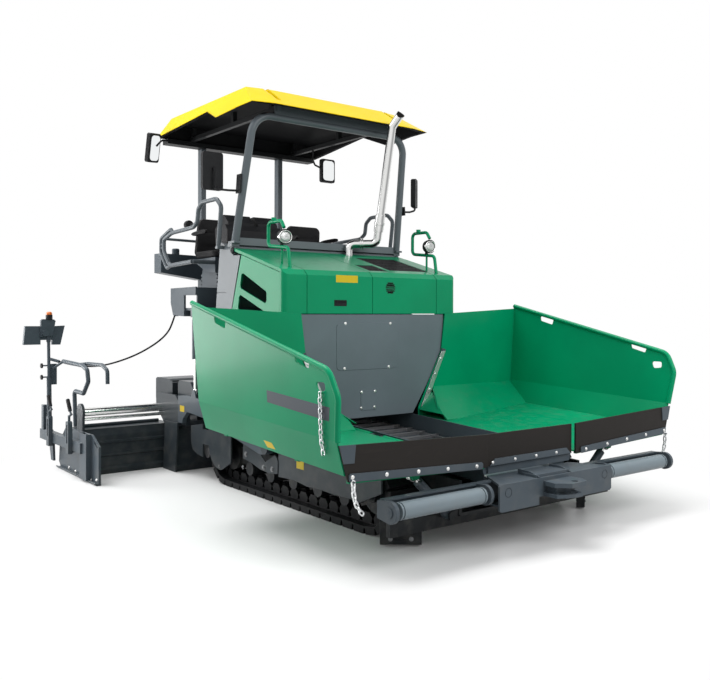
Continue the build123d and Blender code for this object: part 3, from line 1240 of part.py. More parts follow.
def shoulder_plate(y0, y1):
    """Upright plate with a rounded head, standing on the screed behind each arm."""
    low = Polyline((-1490, 410), (-1674, 560), (-1674, 640))
    head = ThreePointArc((-1674, 640), (-1630, 680), (-1560, 688))
    rest = Polyline((-1560, 688), (-1260, 688), (-1195, 640), (-1195, 410), (-1490, 410))
    plate_shape = side_shape_of([low, head, rest], y0, y1)
    seat = block(-1440, -1200, min(abs(y0), abs(y1)) - 20, min(abs(y0), abs(y1)) + 1, 410, 640)
    if y0 < 0:
        seat = mirrored(seat)
    return plate_shape + seat


def pump_box(y0, y1):
    """Closed box over the screed's drive, with a sloping lid."""
    return side_plate_of([(-1330, 560), (-1330, 790), (-1310, 812), (-1080, 812), (-1010, 740), (-1010, 660),
                          (-1110, 640), (-1110, 560)], y0, y1)


def guide_bores(side):
    """Bores of one end of the guide for the extension's thick tube and its two thin rods."""
    ys = sorted((side * 1000, side * 840))
    bores = rod((tube_x, ys[0], tube_z), (tube_x, ys[1], tube_z), tube_radius + pin_play)
    for dx, dz in thin_rods:
        bores += rod((tube_x + dx, ys[0], tube_z + dz), (tube_x + dx, ys[1], tube_z + dz), thin_radius + pin_play)
    return bores


def screed_extension():
    """Extension behind the main screed, with ribs along its front and its tubes' round-headed bracket."""
    x = extension_front_x
    profile = [(x, 0), (x + 6, 44), (x - 20, 64), (x - 20, 150), (x - 6, 160), (x - 6, 176), (x - 20, 186),
               (x - 20, 262), (x - 6, 272), (x - 6, 288), (x - 20, 298), (x - 20, 340), (x - 60, extension_height),
               (x - extension_depth + 40, extension_height), (x - extension_depth, 300), (x - extension_depth, 0)]
    body = side_plate_of(profile, -extension_outer_y, -extension_inner_y)
    y = -extension_outer_y
    body += block(tube_x - 70, tube_x + 70, y, y + 22, extension_height - 20, tube_z)
    body += rod((tube_x, y, tube_z), (tube_x, y + 22, tube_z), 78)
    # hose duct along the top, behind the tubes
    duct = rod((x - 210, y + 30, extension_height + 12), (x - 210, -extension_inner_y - 60, extension_height + 12), 18)
    return body + duct


def extension_tubes():
    """Thick telescopic tube and two thin rods on which an extension slides."""
    y0, y1 = -extension_outer_y + 22, -830
    tubes = rod((tube_x, y0, tube_z), (tube_x, y1, tube_z), tube_radius)
    tubes = [tubes]
    for dx, dz in thin_rods:
        tubes.append(rod((tube_x + dx, y0, tube_z + dz), (tube_x + dx, y1, tube_z + dz), thin_radius))
    return Compound(tubes)


def end_plate():
    """Side gate of the extension: plate, runner, front post, beam and the housings of its two spindles."""
    y = -extension_outer_y
    outside = y - end_plate_thickness
    outline = [(-1053, 12), (-1053, 318), (-1218, 398), (-1880, 398), (-2050, 250), (-2075, 60), (-2020, 12)]
    plate_shape = side_plate_of(outline, outside, y)
    slit = FilletPolyline((-1085, outside - 5, 300), (-1075, outside - 5, 318), (-1150, outside - 5, 356),
                          (-1160, outside - 5, 338), radius=7, close=True)
    plate_shape -= extrude(make_face(slit), amount=40, dir=(0, 1, 0))
    runner = cross_plate_of([(y, 0), (y, 16), (outside - 6, 16), (outside - 30, 26), (outside - 30, 16), (outside - 14, 0)],
                            -2060, -1050)
    post = floor_plate_of([(-1389, outside), (-1389, outside - 45), (-1225, outside - 45), (-1225, outside), (-1234, outside),
                           (-1234, outside - 36), (-1380, outside - 36), (-1380, outside)], 15, 404)
    beam = block(-2450, -1324, outside - 62, outside - 4, 232, 322)
    beam -= block(-2460, -2300, outside - 54, outside - 12, 240, 314)
    pieces = [plate_shape, runner, post, beam, block(-1800, -1500, outside - 5, outside + 1, 240, 310)]
    for x, foot_z, head_z in spindle_housings:
        housing = block(x - 34, x + 34, outside - 96, outside - 58, foot_z, head_z)
        housing -= block(x - 12, x + 12, outside - 110, outside - 84, foot_z + 90, head_z - 30)
        pieces.append(fillet(housing.edges().filter_by(Axis.Y).sort_by(Axis.Z)[-2:], 20))
        pieces.append(block(x - 26, x + 26, outside - 60, outside - 1, foot_z + 10, foot_z + 24))
    # scraper behind the gate's rear end and the upright that carries the beam's rear
    pieces.append(side_plate_of([(-2180, 60), (-2240, 232), (-2130, 232), (-2110, 60)], outside - 40, outside - 20))
    pieces.append(block(-2400, -2340, outside - 62, outside - 22, 232, 555))
    return joined(pieces)


def control_station():
    """Mast of the outer control station with its open-book console, lamp and knobs, two rails and two cranks."""
    y = -extension_outer_y - end_plate_thickness - 28
    foot, head = (-2262, y, 326), (-2300, y, 1180)
    mast = block(-2300, -2224, y - 32, y + 24, 322, 330)
    mast += rod(foot, (-2284, y, 820), 22) + rod((-2284, y, 810), head, 15)
    mast += block(-2330, -2286, y + 12, y + 74, 749, 944)
    # plug of the screed's cable
    end = Vector(*cable_route[-1])
    mast += rod(end, end + (end - Vector(*cable_route[-2])).normalized() * 92, 14)
    for z in (930, 822):
        mast += rod((-2290, y - 60, z), (-2290, y, z), 7) + rod((-2290, y - 72, z), (-2290, y - 58, z), 22)
    # console: two leaves, a bracket over their joint, its ball and the lamp on top
    left = cross_plate_of([(y - 227, 1128), (y - 210, 1302), (y - 72, 1301), (y - 72, 1128)], -2340, -2300)
    right = cross_plate_of([(y + 33, 1125), (y + 45, 1300), (y + 152, 1305), (y + 111, 1124)], -2340, -2300)
    bridge = cross_plate_of([(y - 74, 1170), (y - 74, 1290), (y + 46, 1290), (y + 36, 1170)], -2330, -2306)
    bracket = cross_plate_of([(y - 78, 1200), (y - 78, 1352), (y - 64, 1367), (y + 40, 1364), (y + 55, 1350), (y + 27, 1210)],
                             -2302, -2262)
    console = left + right + bridge + bracket + rod((-2262, y - 40, 1236), (-2240, y - 40, 1236), 30)
    console += rod((-2282, y, 1360), (-2282, y, 1392), 22)
    console += rod((-2282, y, 1391), (-2282, y, 1408), 27) + Pos(-2282, y, 1407) * Sphere(27)
    mast += console + rod((-2302, y, 1150), (-2302, y, 1215), 20)
    rail_y = -extension_outer_y + 40
    rail = bent_tube([(-1800, rail_y, extension_height), (-1830, rail_y, 700), (-1800, rail_y, 722), (-1590, rail_y, 716),
                      (-1470, rail_y, 830), (-1500, rail_y, 930), (-1620, rail_y, 962), (-2140, rail_y, 974)], 19, 30)
    second = bent_tube([(-1700, rail_y, 964), (-1620, rail_y + 50, 975), (-1300, rail_y + 60, 980),
                        (-1180, rail_y + 60, 940), (-1175, rail_y + 60, 826)], 17, 40)
    rail += second + rod((-2134, rail_y, 974), (-2268, y + 36, 905), 12)
    cranks = [crank(x, head_z, y) for x, foot_z, head_z in spindle_housings]
    return Compound([mast, rail] + cranks)


def crank(x, head_z, y):
    """Spindle and folded hand crank of the side gate."""
    y = y - 48
    spindle = rod((x, y, head_z), (x, y, head_z + 52), 11)
    spindle += rod((x, y, head_z + 44), (x + 62, y, head_z + 66), 10)
    grip_low, grip_high = Vector(x + 50, y, head_z + 62), Vector(x - 40, y, head_z + 185)
    return spindle + rod(grip_low, grip_high, 9) + rod(grip_low + (grip_high - grip_low) * 0.25, grip_high, 16)


# ---------------------------------------------------------------- cable
def bent_cable():
    """The cable from the platform to the right control station, each bend as wide as its runs allow."""
    runs = [hypot(*(b - a for a, b in zip(p, q))) for p, q in zip(cable_route, cable_route[1:])]
    radii = []
    for i in range(1, len(cable_route) - 1):
        before = (Vector(*cable_route[i]) - Vector(*cable_route[i - 1])).normalized()
        after = (Vector(*cable_route[i + 1]) - Vector(*cable_route[i])).normalized()
        half_turn = radians(before.get_angle(after)) / 2
        radii.append(0.45 * min(runs[i - 1], runs[i]) / tan(half_turn))
    path = FilletPolyline(*cable_route, radius=radii)
    start = Plane(origin=path @ 0, z_dir=path % 0)
    tube = sweep(start * Circle(cable_radius), path=path)
    print("cable radii", [round(r) for r in radii], "runs", [round(r) for r in runs])
    print("cable volume over section x length", round(tube.volume / (pi * cable_radius ** 2 * path.length), 4))
    return tube


# ---------------------------------------------------------------- write the pieces
def both(right_shape):
    """A piece of the right side and its mirror image, as one part."""
    return Compound([right_shape, mirrored(right_shape)])


save_pair("track", track())
save("track_frames", both(track_frame()))
save("chassis", chassis())
save("side_skirts", both(lower_side_plate()))
save("hood", hood())
save_pair("hood_side_flap", side_flap())
save("cowl", cowl())
save("front_wall", bulkhead())
save("engine", engine())
save("conveyor_trough", conveyor_trough())
save("conveyor_slats", conveyor_slats())
save("centre_flap", centre_flap())
save("centre_clamp", centre_clamp())
save_pair("hopper_wing", wing())
save_pair("wing_flap", wing_flap())
save_pair("wing_clamps", flap_clamp())
wing_barrel, wing_shaft = wing_cylinder()
save_pair("wing_cylinder_barrel", wing_barrel)
save_pair("wing_cylinder_rod", wing_shaft)
save("push_beam", push_beam())
save_pair("push_roller", push_roller())
save("rear_body", rear_body())
save("platform", platform())
save("seats", both(seat()))
save("seat_bases", both(seat_box()))
save("side_rails", both(side_rail()))
save("control_console", control_console())
save("canopy_roof", canopy())
save("canopy_frame", canopy_hoop() + canopy_posts())
save("hood_grilles", hood_grilles())
save_pair("wing_chains", wing_chains())
save("mirrors", mirrors())
cable = bent_cable()
save("screed_cable", cable)
save("exhaust", exhaust())
save("lamp_guards", both(lamp_guard()))
save("work_lamps", both(work_lamp()))
save_pair("auger", auger())
save("screed_arms", both(screed_arm()))
lift_barrel, lift_shaft = lift_cylinder()
save_pair("lift_barrel", lift_barrel)
save_pair("lift_rod", lift_shaft)
save("screed_base", screed_base())
save_pair("screed_extension", screed_extension())
save_pair("extension_tube", extension_tubes())
save_pair("end_plate", end_plate())
save_pair("control_station", control_station())
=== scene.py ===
import bpy
import bmesh
import json
from math import cos, pi, radians, sin
from mathutils import Euler, Matrix, Vector


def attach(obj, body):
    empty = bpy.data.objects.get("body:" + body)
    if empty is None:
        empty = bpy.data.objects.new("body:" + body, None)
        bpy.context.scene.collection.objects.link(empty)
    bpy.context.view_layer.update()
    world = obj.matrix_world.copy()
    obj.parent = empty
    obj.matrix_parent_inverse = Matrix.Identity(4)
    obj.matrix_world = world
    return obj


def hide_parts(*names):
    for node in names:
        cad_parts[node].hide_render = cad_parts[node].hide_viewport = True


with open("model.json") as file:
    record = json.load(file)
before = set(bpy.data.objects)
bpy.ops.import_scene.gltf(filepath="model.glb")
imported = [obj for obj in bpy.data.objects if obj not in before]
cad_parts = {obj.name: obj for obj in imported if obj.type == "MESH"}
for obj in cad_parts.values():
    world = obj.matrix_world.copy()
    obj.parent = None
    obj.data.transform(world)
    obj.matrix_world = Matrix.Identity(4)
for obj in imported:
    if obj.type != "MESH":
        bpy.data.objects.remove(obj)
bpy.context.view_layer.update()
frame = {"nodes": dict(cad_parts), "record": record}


def placed(name, data):
    """An object of the scene, made from its data."""
    made = bpy.data.objects.new(name, data)
    bpy.context.scene.collection.objects.link(made)
    return made


# ------------------------------------------------------------ camera
EYE = (5.619, -4.1625, 1.4388)
YAW, PITCH, ROLL = 0.65736, 0.00332, 0.00236    # in radians; without yaw it looks straight back
SENSOR_WIDTH, LENS = 36, 41.58    # in millimetres
SHIFT_X, SHIFT_Y = -0.00797, -0.0353
ahead = Vector((-cos(YAW) * cos(PITCH), sin(YAW) * cos(PITCH), -sin(PITCH)))
right = Vector((sin(YAW), cos(YAW), 0.0))
up = right.cross(ahead)
tilted_right = right * cos(ROLL) + up * sin(ROLL)
tilted_up = up * cos(ROLL) - right * sin(ROLL)
camera = placed("camera", bpy.data.cameras.new("camera"))
camera.matrix_world = Matrix((
    (tilted_right.x, tilted_up.x, -ahead.x, EYE[0]),
    (tilted_right.y, tilted_up.y, -ahead.y, EYE[1]),
    (tilted_right.z, tilted_up.z, -ahead.z, EYE[2]),
    (0, 0, 0, 1)))
camera.data.sensor_width = SENSOR_WIDTH
camera.data.lens = LENS
camera.data.shift_x = SHIFT_X
camera.data.shift_y = SHIFT_Y
bpy.context.scene.camera = camera
bpy.context.scene.view_settings.view_transform = "Standard"


# ------------------------------------------------------------ shader values
def add_node(tree, kind, settings=None, inputs=()):
    """A node of one kind: its settings first, then its inputs' values or the sockets that feed them."""
    made = tree.nodes.new(kind)
    for key, setting in (settings or {}).items():
        setattr(made, key, setting)
    for key, value in (inputs.items() if isinstance(inputs, dict) else enumerate(inputs)):
        if isinstance(value, bpy.types.NodeSocket):
            tree.links.new(value, made.inputs[key])
        else:
            made.inputs[key].default_value = value
    return made


def arithmetic(operation, turned=False):
    """One arithmetic operator on a varying value, as a Math node."""
    def act(value, other):
        pair = (other, value) if turned else (value, other)
        return value.finish.node("ShaderNodeMath", {"operation": operation}, pair)
    return act


class Varying:
    """A value that changes over a surface, combined with others by ordinary arithmetic."""

    def __init__(self, finish, socket):
        self.finish = finish
        self.socket = socket

    __add__ = arithmetic("ADD")
    __radd__ = arithmetic("ADD", True)
    __sub__ = arithmetic("SUBTRACT")
    __rsub__ = arithmetic("SUBTRACT", True)
    __mul__ = arithmetic("MULTIPLY")

    def between(self, low, high):
        """0 below low, 1 above high, smooth in between."""
        return self.finish.node("ShaderNodeMapRange", {"interpolation_type": "SMOOTHSTEP"},
                                {"Value": self, "From Min": low, "From Max": high})


class Finish:
    """A material in the making, with its shader and each surface point's place and normal."""

    BARE_SPECULAR, PAINTED_SPECULAR = 0.5, 0.12
    MIX_SHARE, MIX_FIRST, MIX_SECOND, MIX_COLOUR = 0, 6, 7, 2    # a Mix node's sockets for colours

    def __init__(self, name, colour, roughness, metallic=0.0, coat=0.0, coat_roughness=0.1):
        self.material = bpy.data.materials.new(name)
        self.material.use_nodes = True
        self.tree = self.material.node_tree
        self.shader = self.tree.nodes["Principled BSDF"]
        self.set("Base Color", (*colour, 1.0))
        self.set("Roughness", roughness)
        self.set("Metallic", metallic)
        self.set("Coat Weight", coat)
        self.set("Coat Roughness", coat_roughness)
        self.set("Specular IOR Level", self.BARE_SPECULAR if metallic else self.PAINTED_SPECULAR)
        self.place = self.node("ShaderNodeTexCoord", output="Object")
        self.normal = self.node("ShaderNodeTexCoord", output="Normal")

    def set(self, socket, value):
        if isinstance(value, Varying):
            self.tree.links.new(value.socket, self.shader.inputs[socket])
        else:
            self.shader.inputs[socket].default_value = value

    def node(self, kind, settings=None, inputs=(), output=0):
        """The varying value that a new node of this material gives."""
        pairs = inputs.items() if isinstance(inputs, dict) else enumerate(inputs)
        fed = {key: value.socket if isinstance(value, Varying) else value for key, value in pairs}
        return Varying(self, add_node(self.tree, kind, settings, fed).outputs[output])

    def noise(self, scale, detail=3.0, stretch=(1, 1, 1)):
        """Soft noise over the surface, whose grain may be stretched along an axis."""
        place = self.place
        if stretch != (1, 1, 1):
            place = self.node("ShaderNodeMapping", {}, {"Vector": place, "Scale": stretch})
        return self.node("ShaderNodeTexNoise", {}, {"Vector": place, "Scale": scale, "Detail": detail})

    def cells(self, scale, settings, **inputs):
        """A Voronoi pattern over the surface."""
        return self.node("ShaderNodeTexVoronoi", settings, {"Vector": self.place, "Scale": scale, **inputs})

    def axis(self, vector, name):
        return self.node("ShaderNodeSeparateXYZ", {}, {0: vector}, name)

    def mixed(self, share, first, second):
        """A colour between two others."""
        first, second = ((*c, 1.0) if isinstance(c, tuple) else c for c in (first, second))
        return self.node("ShaderNodeMix", {"data_type": "RGBA"}, {
            self.MIX_SHARE: share, self.MIX_FIRST: first, self.MIX_SECOND: second}, self.MIX_COLOUR)

    def relief(self, height, distance, edge=0.0):
        """Fine relief, over edges rounded by a small radius."""
        values = {"Height": height, "Distance": distance, "Strength": 1.0}
        if edge:
            values["Normal"] = self.node("ShaderNodeBevel", {"samples": 4}, {"Radius": edge})
        self.set("Normal", self.node("ShaderNodeBump", {}, values))


def shaded(colour, share):
    return tuple(min(1.0, part * share) for part in colour)


# ------------------------------------------------------------ kinds of finish
EDGE = 0.004    # radius by which painted edges look rounded
DUST = (0.19, 0.185, 0.17)
STAIN = (0.12, 0.09, 0.07)
CELL_EDGES = {"feature": "DISTANCE_TO_EDGE"}


def gloss_paint(name, colour, roughness=0.3, coat=0.35, edge=EDGE, grime=0.25):
    """Sprayed paint: cloudy tone, orange-peel relief, rounded edges, a little dust low down and on top."""
    finish = Finish(name, colour, roughness, coat=coat, coat_roughness=0.12)
    cloud = finish.noise(1.7, 4.0)
    tone = finish.mixed(cloud.between(0.35, 0.7), shaded(colour, 0.93), shaded(colour, 1.07))
    height = finish.axis(finish.place, "Z")
    low = (1 - height.between(0.1, 0.75)) * finish.noise(9.0, 5.0).between(0.4, 0.75)
    upward = finish.axis(finish.normal, "Z").between(0.6, 1.0)
    dust = upward * finish.noise(14.0, 6.0).between(0.45, 0.8) * 0.16 + low * grime
    finish.set("Base Color", finish.mixed(dust, tone, DUST))
    finish.set("Roughness", roughness + dust * 0.45 + finish.noise(60.0, 2.0) * 0.05)
    finish.relief(finish.noise(170.0, 2.0), 0.0004, edge)
    return finish.material


def dark_casting(name, colour, roughness):
    """Rough painted casting or forging with oily patches."""
    finish = Finish(name, colour, roughness)
    patches = finish.noise(5.0, 6.0).between(0.42, 0.66)
    finish.set("Base Color", finish.mixed(patches, colour, shaded(colour, 1.5)))
    finish.set("Roughness", roughness + patches * 0.18)
    finish.relief(finish.noise(70.0, 6.0), 0.0012, EDGE)
    return finish.material


def rubber(name, colour):
    """Moulded rubber with a fine grain and paler scuffs."""
    finish = Finish(name, colour, 0.55)
    scuffs = finish.noise(22.0, 6.0, (1, 0.25, 1.6)).between(0.55, 0.8)
    finish.set("Base Color", finish.mixed(scuffs * 0.35, colour, shaded(colour, 2.4)))
    finish.set("Roughness", 0.5 + scuffs * 0.25)
    finish.relief(finish.noise(240.0, 3.0) + finish.noise(12.0, 3.0) * 2.0, 0.0007, 0.003)
    return finish.material


def moulded_plastic(name, colour, roughness):
    """Dark moulded plastic with a leathery grain."""
    finish = Finish(name, colour, roughness)
    grain = finish.cells(420.0, CELL_EDGES)
    cloud = finish.noise(6.0, 3.0).between(0.4, 0.7)
    finish.set("Base Color", finish.mixed(cloud, colour, shaded(colour, 1.5)))
    finish.set("Roughness", roughness + cloud * 0.12)
    finish.relief(grain.between(0.0, 0.25), 0.0003, EDGE)
    return finish.material


def steel(name, colour, roughness, drawn=(1, 1, 1), worn=0.0):
    """Bare steel, with drawn or rolled lines along it, and stained where worn."""
    finish = Finish(name, colour, roughness, metallic=1.0)
    lines = finish.noise(26.0, 5.0, drawn)
    stains = finish.noise(3.5, 5.0).between(0.45, 0.7)
    bare = finish.mixed(lines.between(0.3, 0.7), colour, shaded(colour, 1.15))
    finish.set("Base Color", finish.mixed(stains * worn, bare, STAIN))
    finish.set("Roughness", roughness + lines * 0.12 + stains * worn * 0.4)
    finish.relief(lines, 0.0002, 0.003)
    return finish.material


def polished_pipe():
    """Polished stainless pipe, with a painted reflection: a dark band down its front and a dark edge, set
    by the way each face turns.
    """
    finish = Finish("polished stainless steel", (0.74, 0.74, 0.73), 0.16, metallic=1.0)
    across = finish.node("ShaderNodeVectorMath", {"operation": "DOT_PRODUCT"},
                         {0: finish.normal, 1: (0.62, -0.78, 0.0)}, "Value")
    # painted reflection: the dark band and the dark edge stand for a studio's dark side mirrored in the
    # pipe
    band = across.between(0.25, 0.62) * (1 - across.between(0.74, 0.96))
    edge = 1 - across.between(-0.35, 0.02)
    lines = finish.noise(26.0, 5.0, (1, 1, 0.04))
    finish.set("Base Color", finish.mixed(
        band * 0.62 + edge * 0.55 + lines * 0.08, (0.80, 0.80, 0.79), (0.10, 0.105, 0.11)))
    finish.set("Roughness", 0.13 + lines * 0.1)
    finish.relief(lines, 0.0002, 0.003)
    return finish.material


def roof_paint():
    """Yellow outside, black lining on whatever faces down."""
    finish = Finish("roof's yellow and its black lining", (0.95, 0.72, 0.0), 0.28, coat=0.02)
    finish.set("IOR", 1.2)
    lining = 1 - finish.axis(finish.normal, "Z").between(-0.06, -0.02)
    sunned = finish.mixed(finish.noise(1.3, 4.0).between(0.3, 0.7), (0.84, 0.60, 0.0), (0.90, 0.67, 0.0))
    finish.set("Base Color", finish.mixed(lining, sunned, (0.012, 0.012, 0.013)))
    finish.set("Roughness", 0.27 + lining * 0.4 + finish.noise(60.0, 2.0) * 0.05)
    finish.relief(finish.noise(150.0, 2.0), 0.0004, 0.022)
    return finish.material


def slot_grid():
    """Black grille with punched holes, painted darker as the shade seen through them."""
    black = (0.013, 0.013, 0.014)
    finish = Finish("black grille plastic", black, 0.5)
    holes = 1 - finish.cells(60.0, {"distance": "CHEBYCHEV"}, Randomness=0.0).between(0.22, 0.34)
    # painted shade: the openings are darkened for the dark behind the grille
    finish.set("Base Color", finish.mixed(holes, black, (0.002, 0.002, 0.002)))
    finish.set("Roughness", 0.45 + holes * 0.4)
    finish.relief(1 - holes, 0.002, 0.003)
    return finish.material


def deck_finish(grey):
    """Platform's grey steel, with crossed raised bars on its upper faces."""
    finish = Finish("platform's tread plate", grey, 0.4, coat=0.2)
    x, y = finish.axis(finish.place, "X"), finish.axis(finish.place, "Y")
    first = finish.node("ShaderNodeMath", {"operation": "SINE"}, ((x + y) * 130.0,))
    second = finish.node("ShaderNodeMath", {"operation": "SINE"}, ((x - y) * 130.0,))
    crossed = first.between(0.75, 0.95) * second.between(-0.2, 0.3)
    bars = crossed * finish.axis(finish.normal, "Z").between(0.8, 0.95)
    cloud = finish.noise(4.0, 5.0).between(0.4, 0.7)
    finish.set("Base Color", finish.mixed(bars * 0.5 + cloud * 0.12, grey, (0.2, 0.21, 0.22)))
    finish.set("Roughness", 0.36 + cloud * 0.2 - bars * 0.1)
    finish.relief(bars + finish.noise(150.0, 2.0) * 0.1, 0.002, EDGE)
    return finish.material


def canopy_frame_paint(grey):
    """Grey posts and hoop, lightened as painted highlight, and the black rails up inside the roof."""
    finish = Finish("canopy frame's grey and black paint", grey, 0.27, coat=0.15)
    above_rails = finish.axis(finish.place, "Z").between(3.035, 3.045)
    behind_hoop = 1 - finish.axis(finish.place, "X").between(-0.14, -0.12)
    inside = above_rails * behind_hoop
    # painted highlight: both greys are lighter than the slate grey, for the light that the posts and hoop
    # catch
    cloud = finish.mixed(finish.noise(1.7, 4.0), (0.116, 0.136, 0.152), (0.134, 0.156, 0.172))
    finish.set("Base Color", finish.mixed(inside, cloud, (0.014, 0.015, 0.016)))
    finish.set("Roughness", 0.26 + inside * 0.3 + finish.noise(60.0, 2.0) * 0.05)
    finish.relief(finish.noise(170.0, 2.0), 0.0004, EDGE)
    return finish.material


def vinyl(name, colour):
    """Seat vinyl: fine leather grain, soft sheen, worn a little paler in patches."""
    finish = Finish(name, colour, 0.5)
    grain = finish.cells(330.0, CELL_EDGES)
    wear = finish.noise(7.0, 5.0).between(0.45, 0.75)
    finish.set("Base Color", finish.mixed(wear, colour, shaded(colour, 1.7)))
    finish.set("Roughness", 0.44 + wear * 0.16)
    finish.relief(grain.between(0.0, 0.3) + finish.noise(30.0, 3.0) * 0.8, 0.0005)
    return finish.material


def lens_glass():
    """Lamp glass moulded with small prisms, over a bright dish."""
    finish = Finish("lamp's prismed lens", (0.62, 0.63, 0.62), 0.12, coat=1.0, coat_roughness=0.04)
    prisms = finish.cells(120.0, CELL_EDGES, Randomness=0.2)
    finish.set("Base Color", finish.mixed(prisms.between(0.0, 0.3), (0.42, 0.43, 0.43), (0.74, 0.75, 0.74)))
    finish.set("Metallic", 0.45)
    finish.set("Roughness", 0.1 + finish.noise(50.0) * 0.1)
    finish.relief(prisms.between(0.0, 0.5), 0.0012)
    return finish.material


def amber():
    """Amber beacon hood with fine lens ribs."""
    finish = Finish("beacon's amber hood", (0.85, 0.17, 0.005), 0.15, coat=0.8, coat_roughness=0.05)
    finish.set("Base Color", finish.mixed(finish.noise(40.0), (0.78, 0.13, 0.004), (0.95, 0.25, 0.01)))
    finish.set("Roughness", 0.14 + finish.noise(70.0) * 0.1)
    ribs = finish.node("ShaderNodeMath", {"operation": "SINE"}, (finish.axis(finish.place, "Z") * 1800.0,))
    finish.relief(ribs, 0.0006)
    return finish.material


def mirror_glass():
    """Silvered glass, very slightly uneven."""
    finish = Finish("mirror's silvered glass", (0.86, 0.88, 0.89), 0.03, metallic=1.0)
    finish.set("Roughness", 0.02 + finish.noise(4.0).between(0.4, 0.8) * 0.04)
    finish.set("Base Color", finish.mixed(finish.noise(3.0), (0.84, 0.86, 0.87), (0.9, 0.92, 0.92)))
    return finish.material


def soot_and_shade_black():
    """Dry soot, which also stands as painted shade for the inside of the open pipe."""
    finish = Finish("soot and painted shade inside the exhaust", (0.006, 0.006, 0.006), 0.9)
    finish.set("Base Color", finish.mixed(finish.noise(60.0), (0.004, 0.004, 0.004), (0.012, 0.011, 0.01)))
    return finish.material


# ------------------------------------------------------------ finishes of the machine
GREEN = (0.0, 0.290, 0.128)
GREY = (0.072, 0.092, 0.110)
# painted highlight: the tubes' grey is a lighter copy of the slate grey, for the light that round rails,
# posts and hoop catch
TUBE_GREY_WITH_PAINTED_SHINE = (0.125, 0.146, 0.162)
paint_green = gloss_paint("green paint", GREEN, 0.27, 0.06)
paint_grey = gloss_paint("slate grey paint", GREY, 0.3, 0.08)
# painted highlight: handrails and posts take the lightened grey in place of the slate grey
tube_paint_lightened_for_shine = gloss_paint("handrails' and posts' grey, lightened as painted shine", TUBE_GREY_WITH_PAINTED_SHINE, 0.25, 0.15)
# painted light: the cowl's grey is a lighter copy of the slate grey, for the softbox light on its side
cowl_paint_lightened_for_light = gloss_paint("cowl's grey, lightened as painted light", (0.150, 0.170, 0.186), 0.26, 0.12)
paint_screed = gloss_paint("screed's dark grey paint", (0.040, 0.050, 0.058), 0.3, 0.08)
paint_skirt = gloss_paint("skirts' dark grey paint", (0.048, 0.058, 0.066), 0.3, 0.08)
paint_wall = gloss_paint("front wall's grey paint", (0.145, 0.180, 0.202), 0.36, 0.08)
paint_running = gloss_paint("running gear's black paint", (0.016, 0.019, 0.022), 0.38, 0.12, grime=0.3)
paint_roller = gloss_paint("push rollers' grey paint", (0.20, 0.25, 0.28), 0.28, 0.2)
paint_stripe = gloss_paint("stripe's dark grey paint", (0.085, 0.098, 0.115), 0.35, 0.1, edge=0.0)
foil_yellow = gloss_paint("blank yellow foil", (0.72, 0.52, 0.02), 0.4, 0.2, edge=0.0, grime=0.1)
iron = dark_casting("engine's cast iron", (0.035, 0.036, 0.038), 0.6)
track_black = dark_casting("track's blackened steel and rubber", (0.008, 0.0085, 0.0095), 0.42)
flap_rubber = rubber("hopper flaps' rubber", (0.019, 0.0165, 0.015))
cable_rubber = rubber("cable's black rubber", (0.012, 0.012, 0.013))
black_plastic = moulded_plastic("black plastic", (0.014, 0.0145, 0.016), 0.42)
grip_plastic = moulded_plastic("black grips", (0.008, 0.008, 0.009), 0.38)
zinc = steel("zinc-plated steel", (0.66, 0.67, 0.68), 0.22)
conveyor_steel = steel("conveyor's worn steel", (0.30, 0.30, 0.31), 0.36, (1, 24, 1), 0.35)
chrome = steel("hard chrome", (0.78, 0.78, 0.77), 0.1, (1, 40, 1))
stainless = polished_pipe()
frame_paint = canopy_frame_paint(TUBE_GREY_WITH_PAINTED_SHINE)
roof_finish = roof_paint()
grille_black = slot_grid()
deck = deck_finish(GREY)
seat_vinyl = vinyl("seat's black vinyl", (0.013, 0.013, 0.014))
zinc_screw = steel("zinc-plated screws", (0.70, 0.70, 0.69), 0.25)
bright_strip = steel("seal strip's bright steel", (0.62, 0.63, 0.63), 0.3, (1, 6, 14))
black_bolt = steel("blackened bolts", (0.16, 0.165, 0.17), 0.4)

by_slot = {
    "frame_grey": paint_grey, "body_green": paint_green, "canopy_yellow": roof_finish,
    "engine_iron": iron, "flap_rubber": flap_rubber, "track_rubber_steel": track_black,
    "rod_chrome": chrome, "exhaust_steel": stainless, "worn_steel": conveyor_steel,
    "black_plastic": black_plastic, "roller_grey": paint_roller, "cable_rubber": cable_rubber}
by_node = {
    "front_wall": paint_wall, "chassis": paint_running, "track_frames": paint_running,
    "hood_grilles": grille_black, "wing_chains_right": zinc, "wing_chains_left": zinc,
    "platform": deck, "rear_body": deck, "lamp_guards": paint_green, "cowl": cowl_paint_lightened_for_light,
    "canopy_frame": frame_paint, "side_rails": tube_paint_lightened_for_shine, "side_skirts": paint_skirt,
    "screed_base": paint_screed, "screed_extension_right": paint_screed,
    "screed_extension_left": paint_screed}
slots = {row["node"]: row["material_slot"] for row in frame["record"]["subparts"]}
for name in frame["nodes"]:
    piece = bpy.data.objects[name]
    piece.data.materials.clear()
    piece.data.materials.append(by_node.get(name, by_slot[slots[name]]))


# ------------------------------------------------------------ making pieces
SIDES = (("right", 1), ("left", -1))


def both_sides(points, side):
    """Points given for the right side, kept there or mirrored to the left."""
    return [Vector((x, y * side, z)) for x, y, z in points]


def rectangle(low_a, high_a, low_b, high_b):
    return ((low_a, low_b), (high_a, low_b), (high_a, high_b), (low_a, high_b))


def facing_front(x, corners):
    return [(x, y, z) for y, z in corners]


def facing_right(y, corners):
    return [(x, y, z) for x, z in corners]


def new_piece(name, mesh, finish, body, smooth=False):
    """A mesh object that rides on one body."""
    piece = placed(name, mesh)
    mesh.materials.append(finish)
    if smooth:
        for face in mesh.polygons:
            face.use_smooth = True
    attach(piece, body)
    return piece


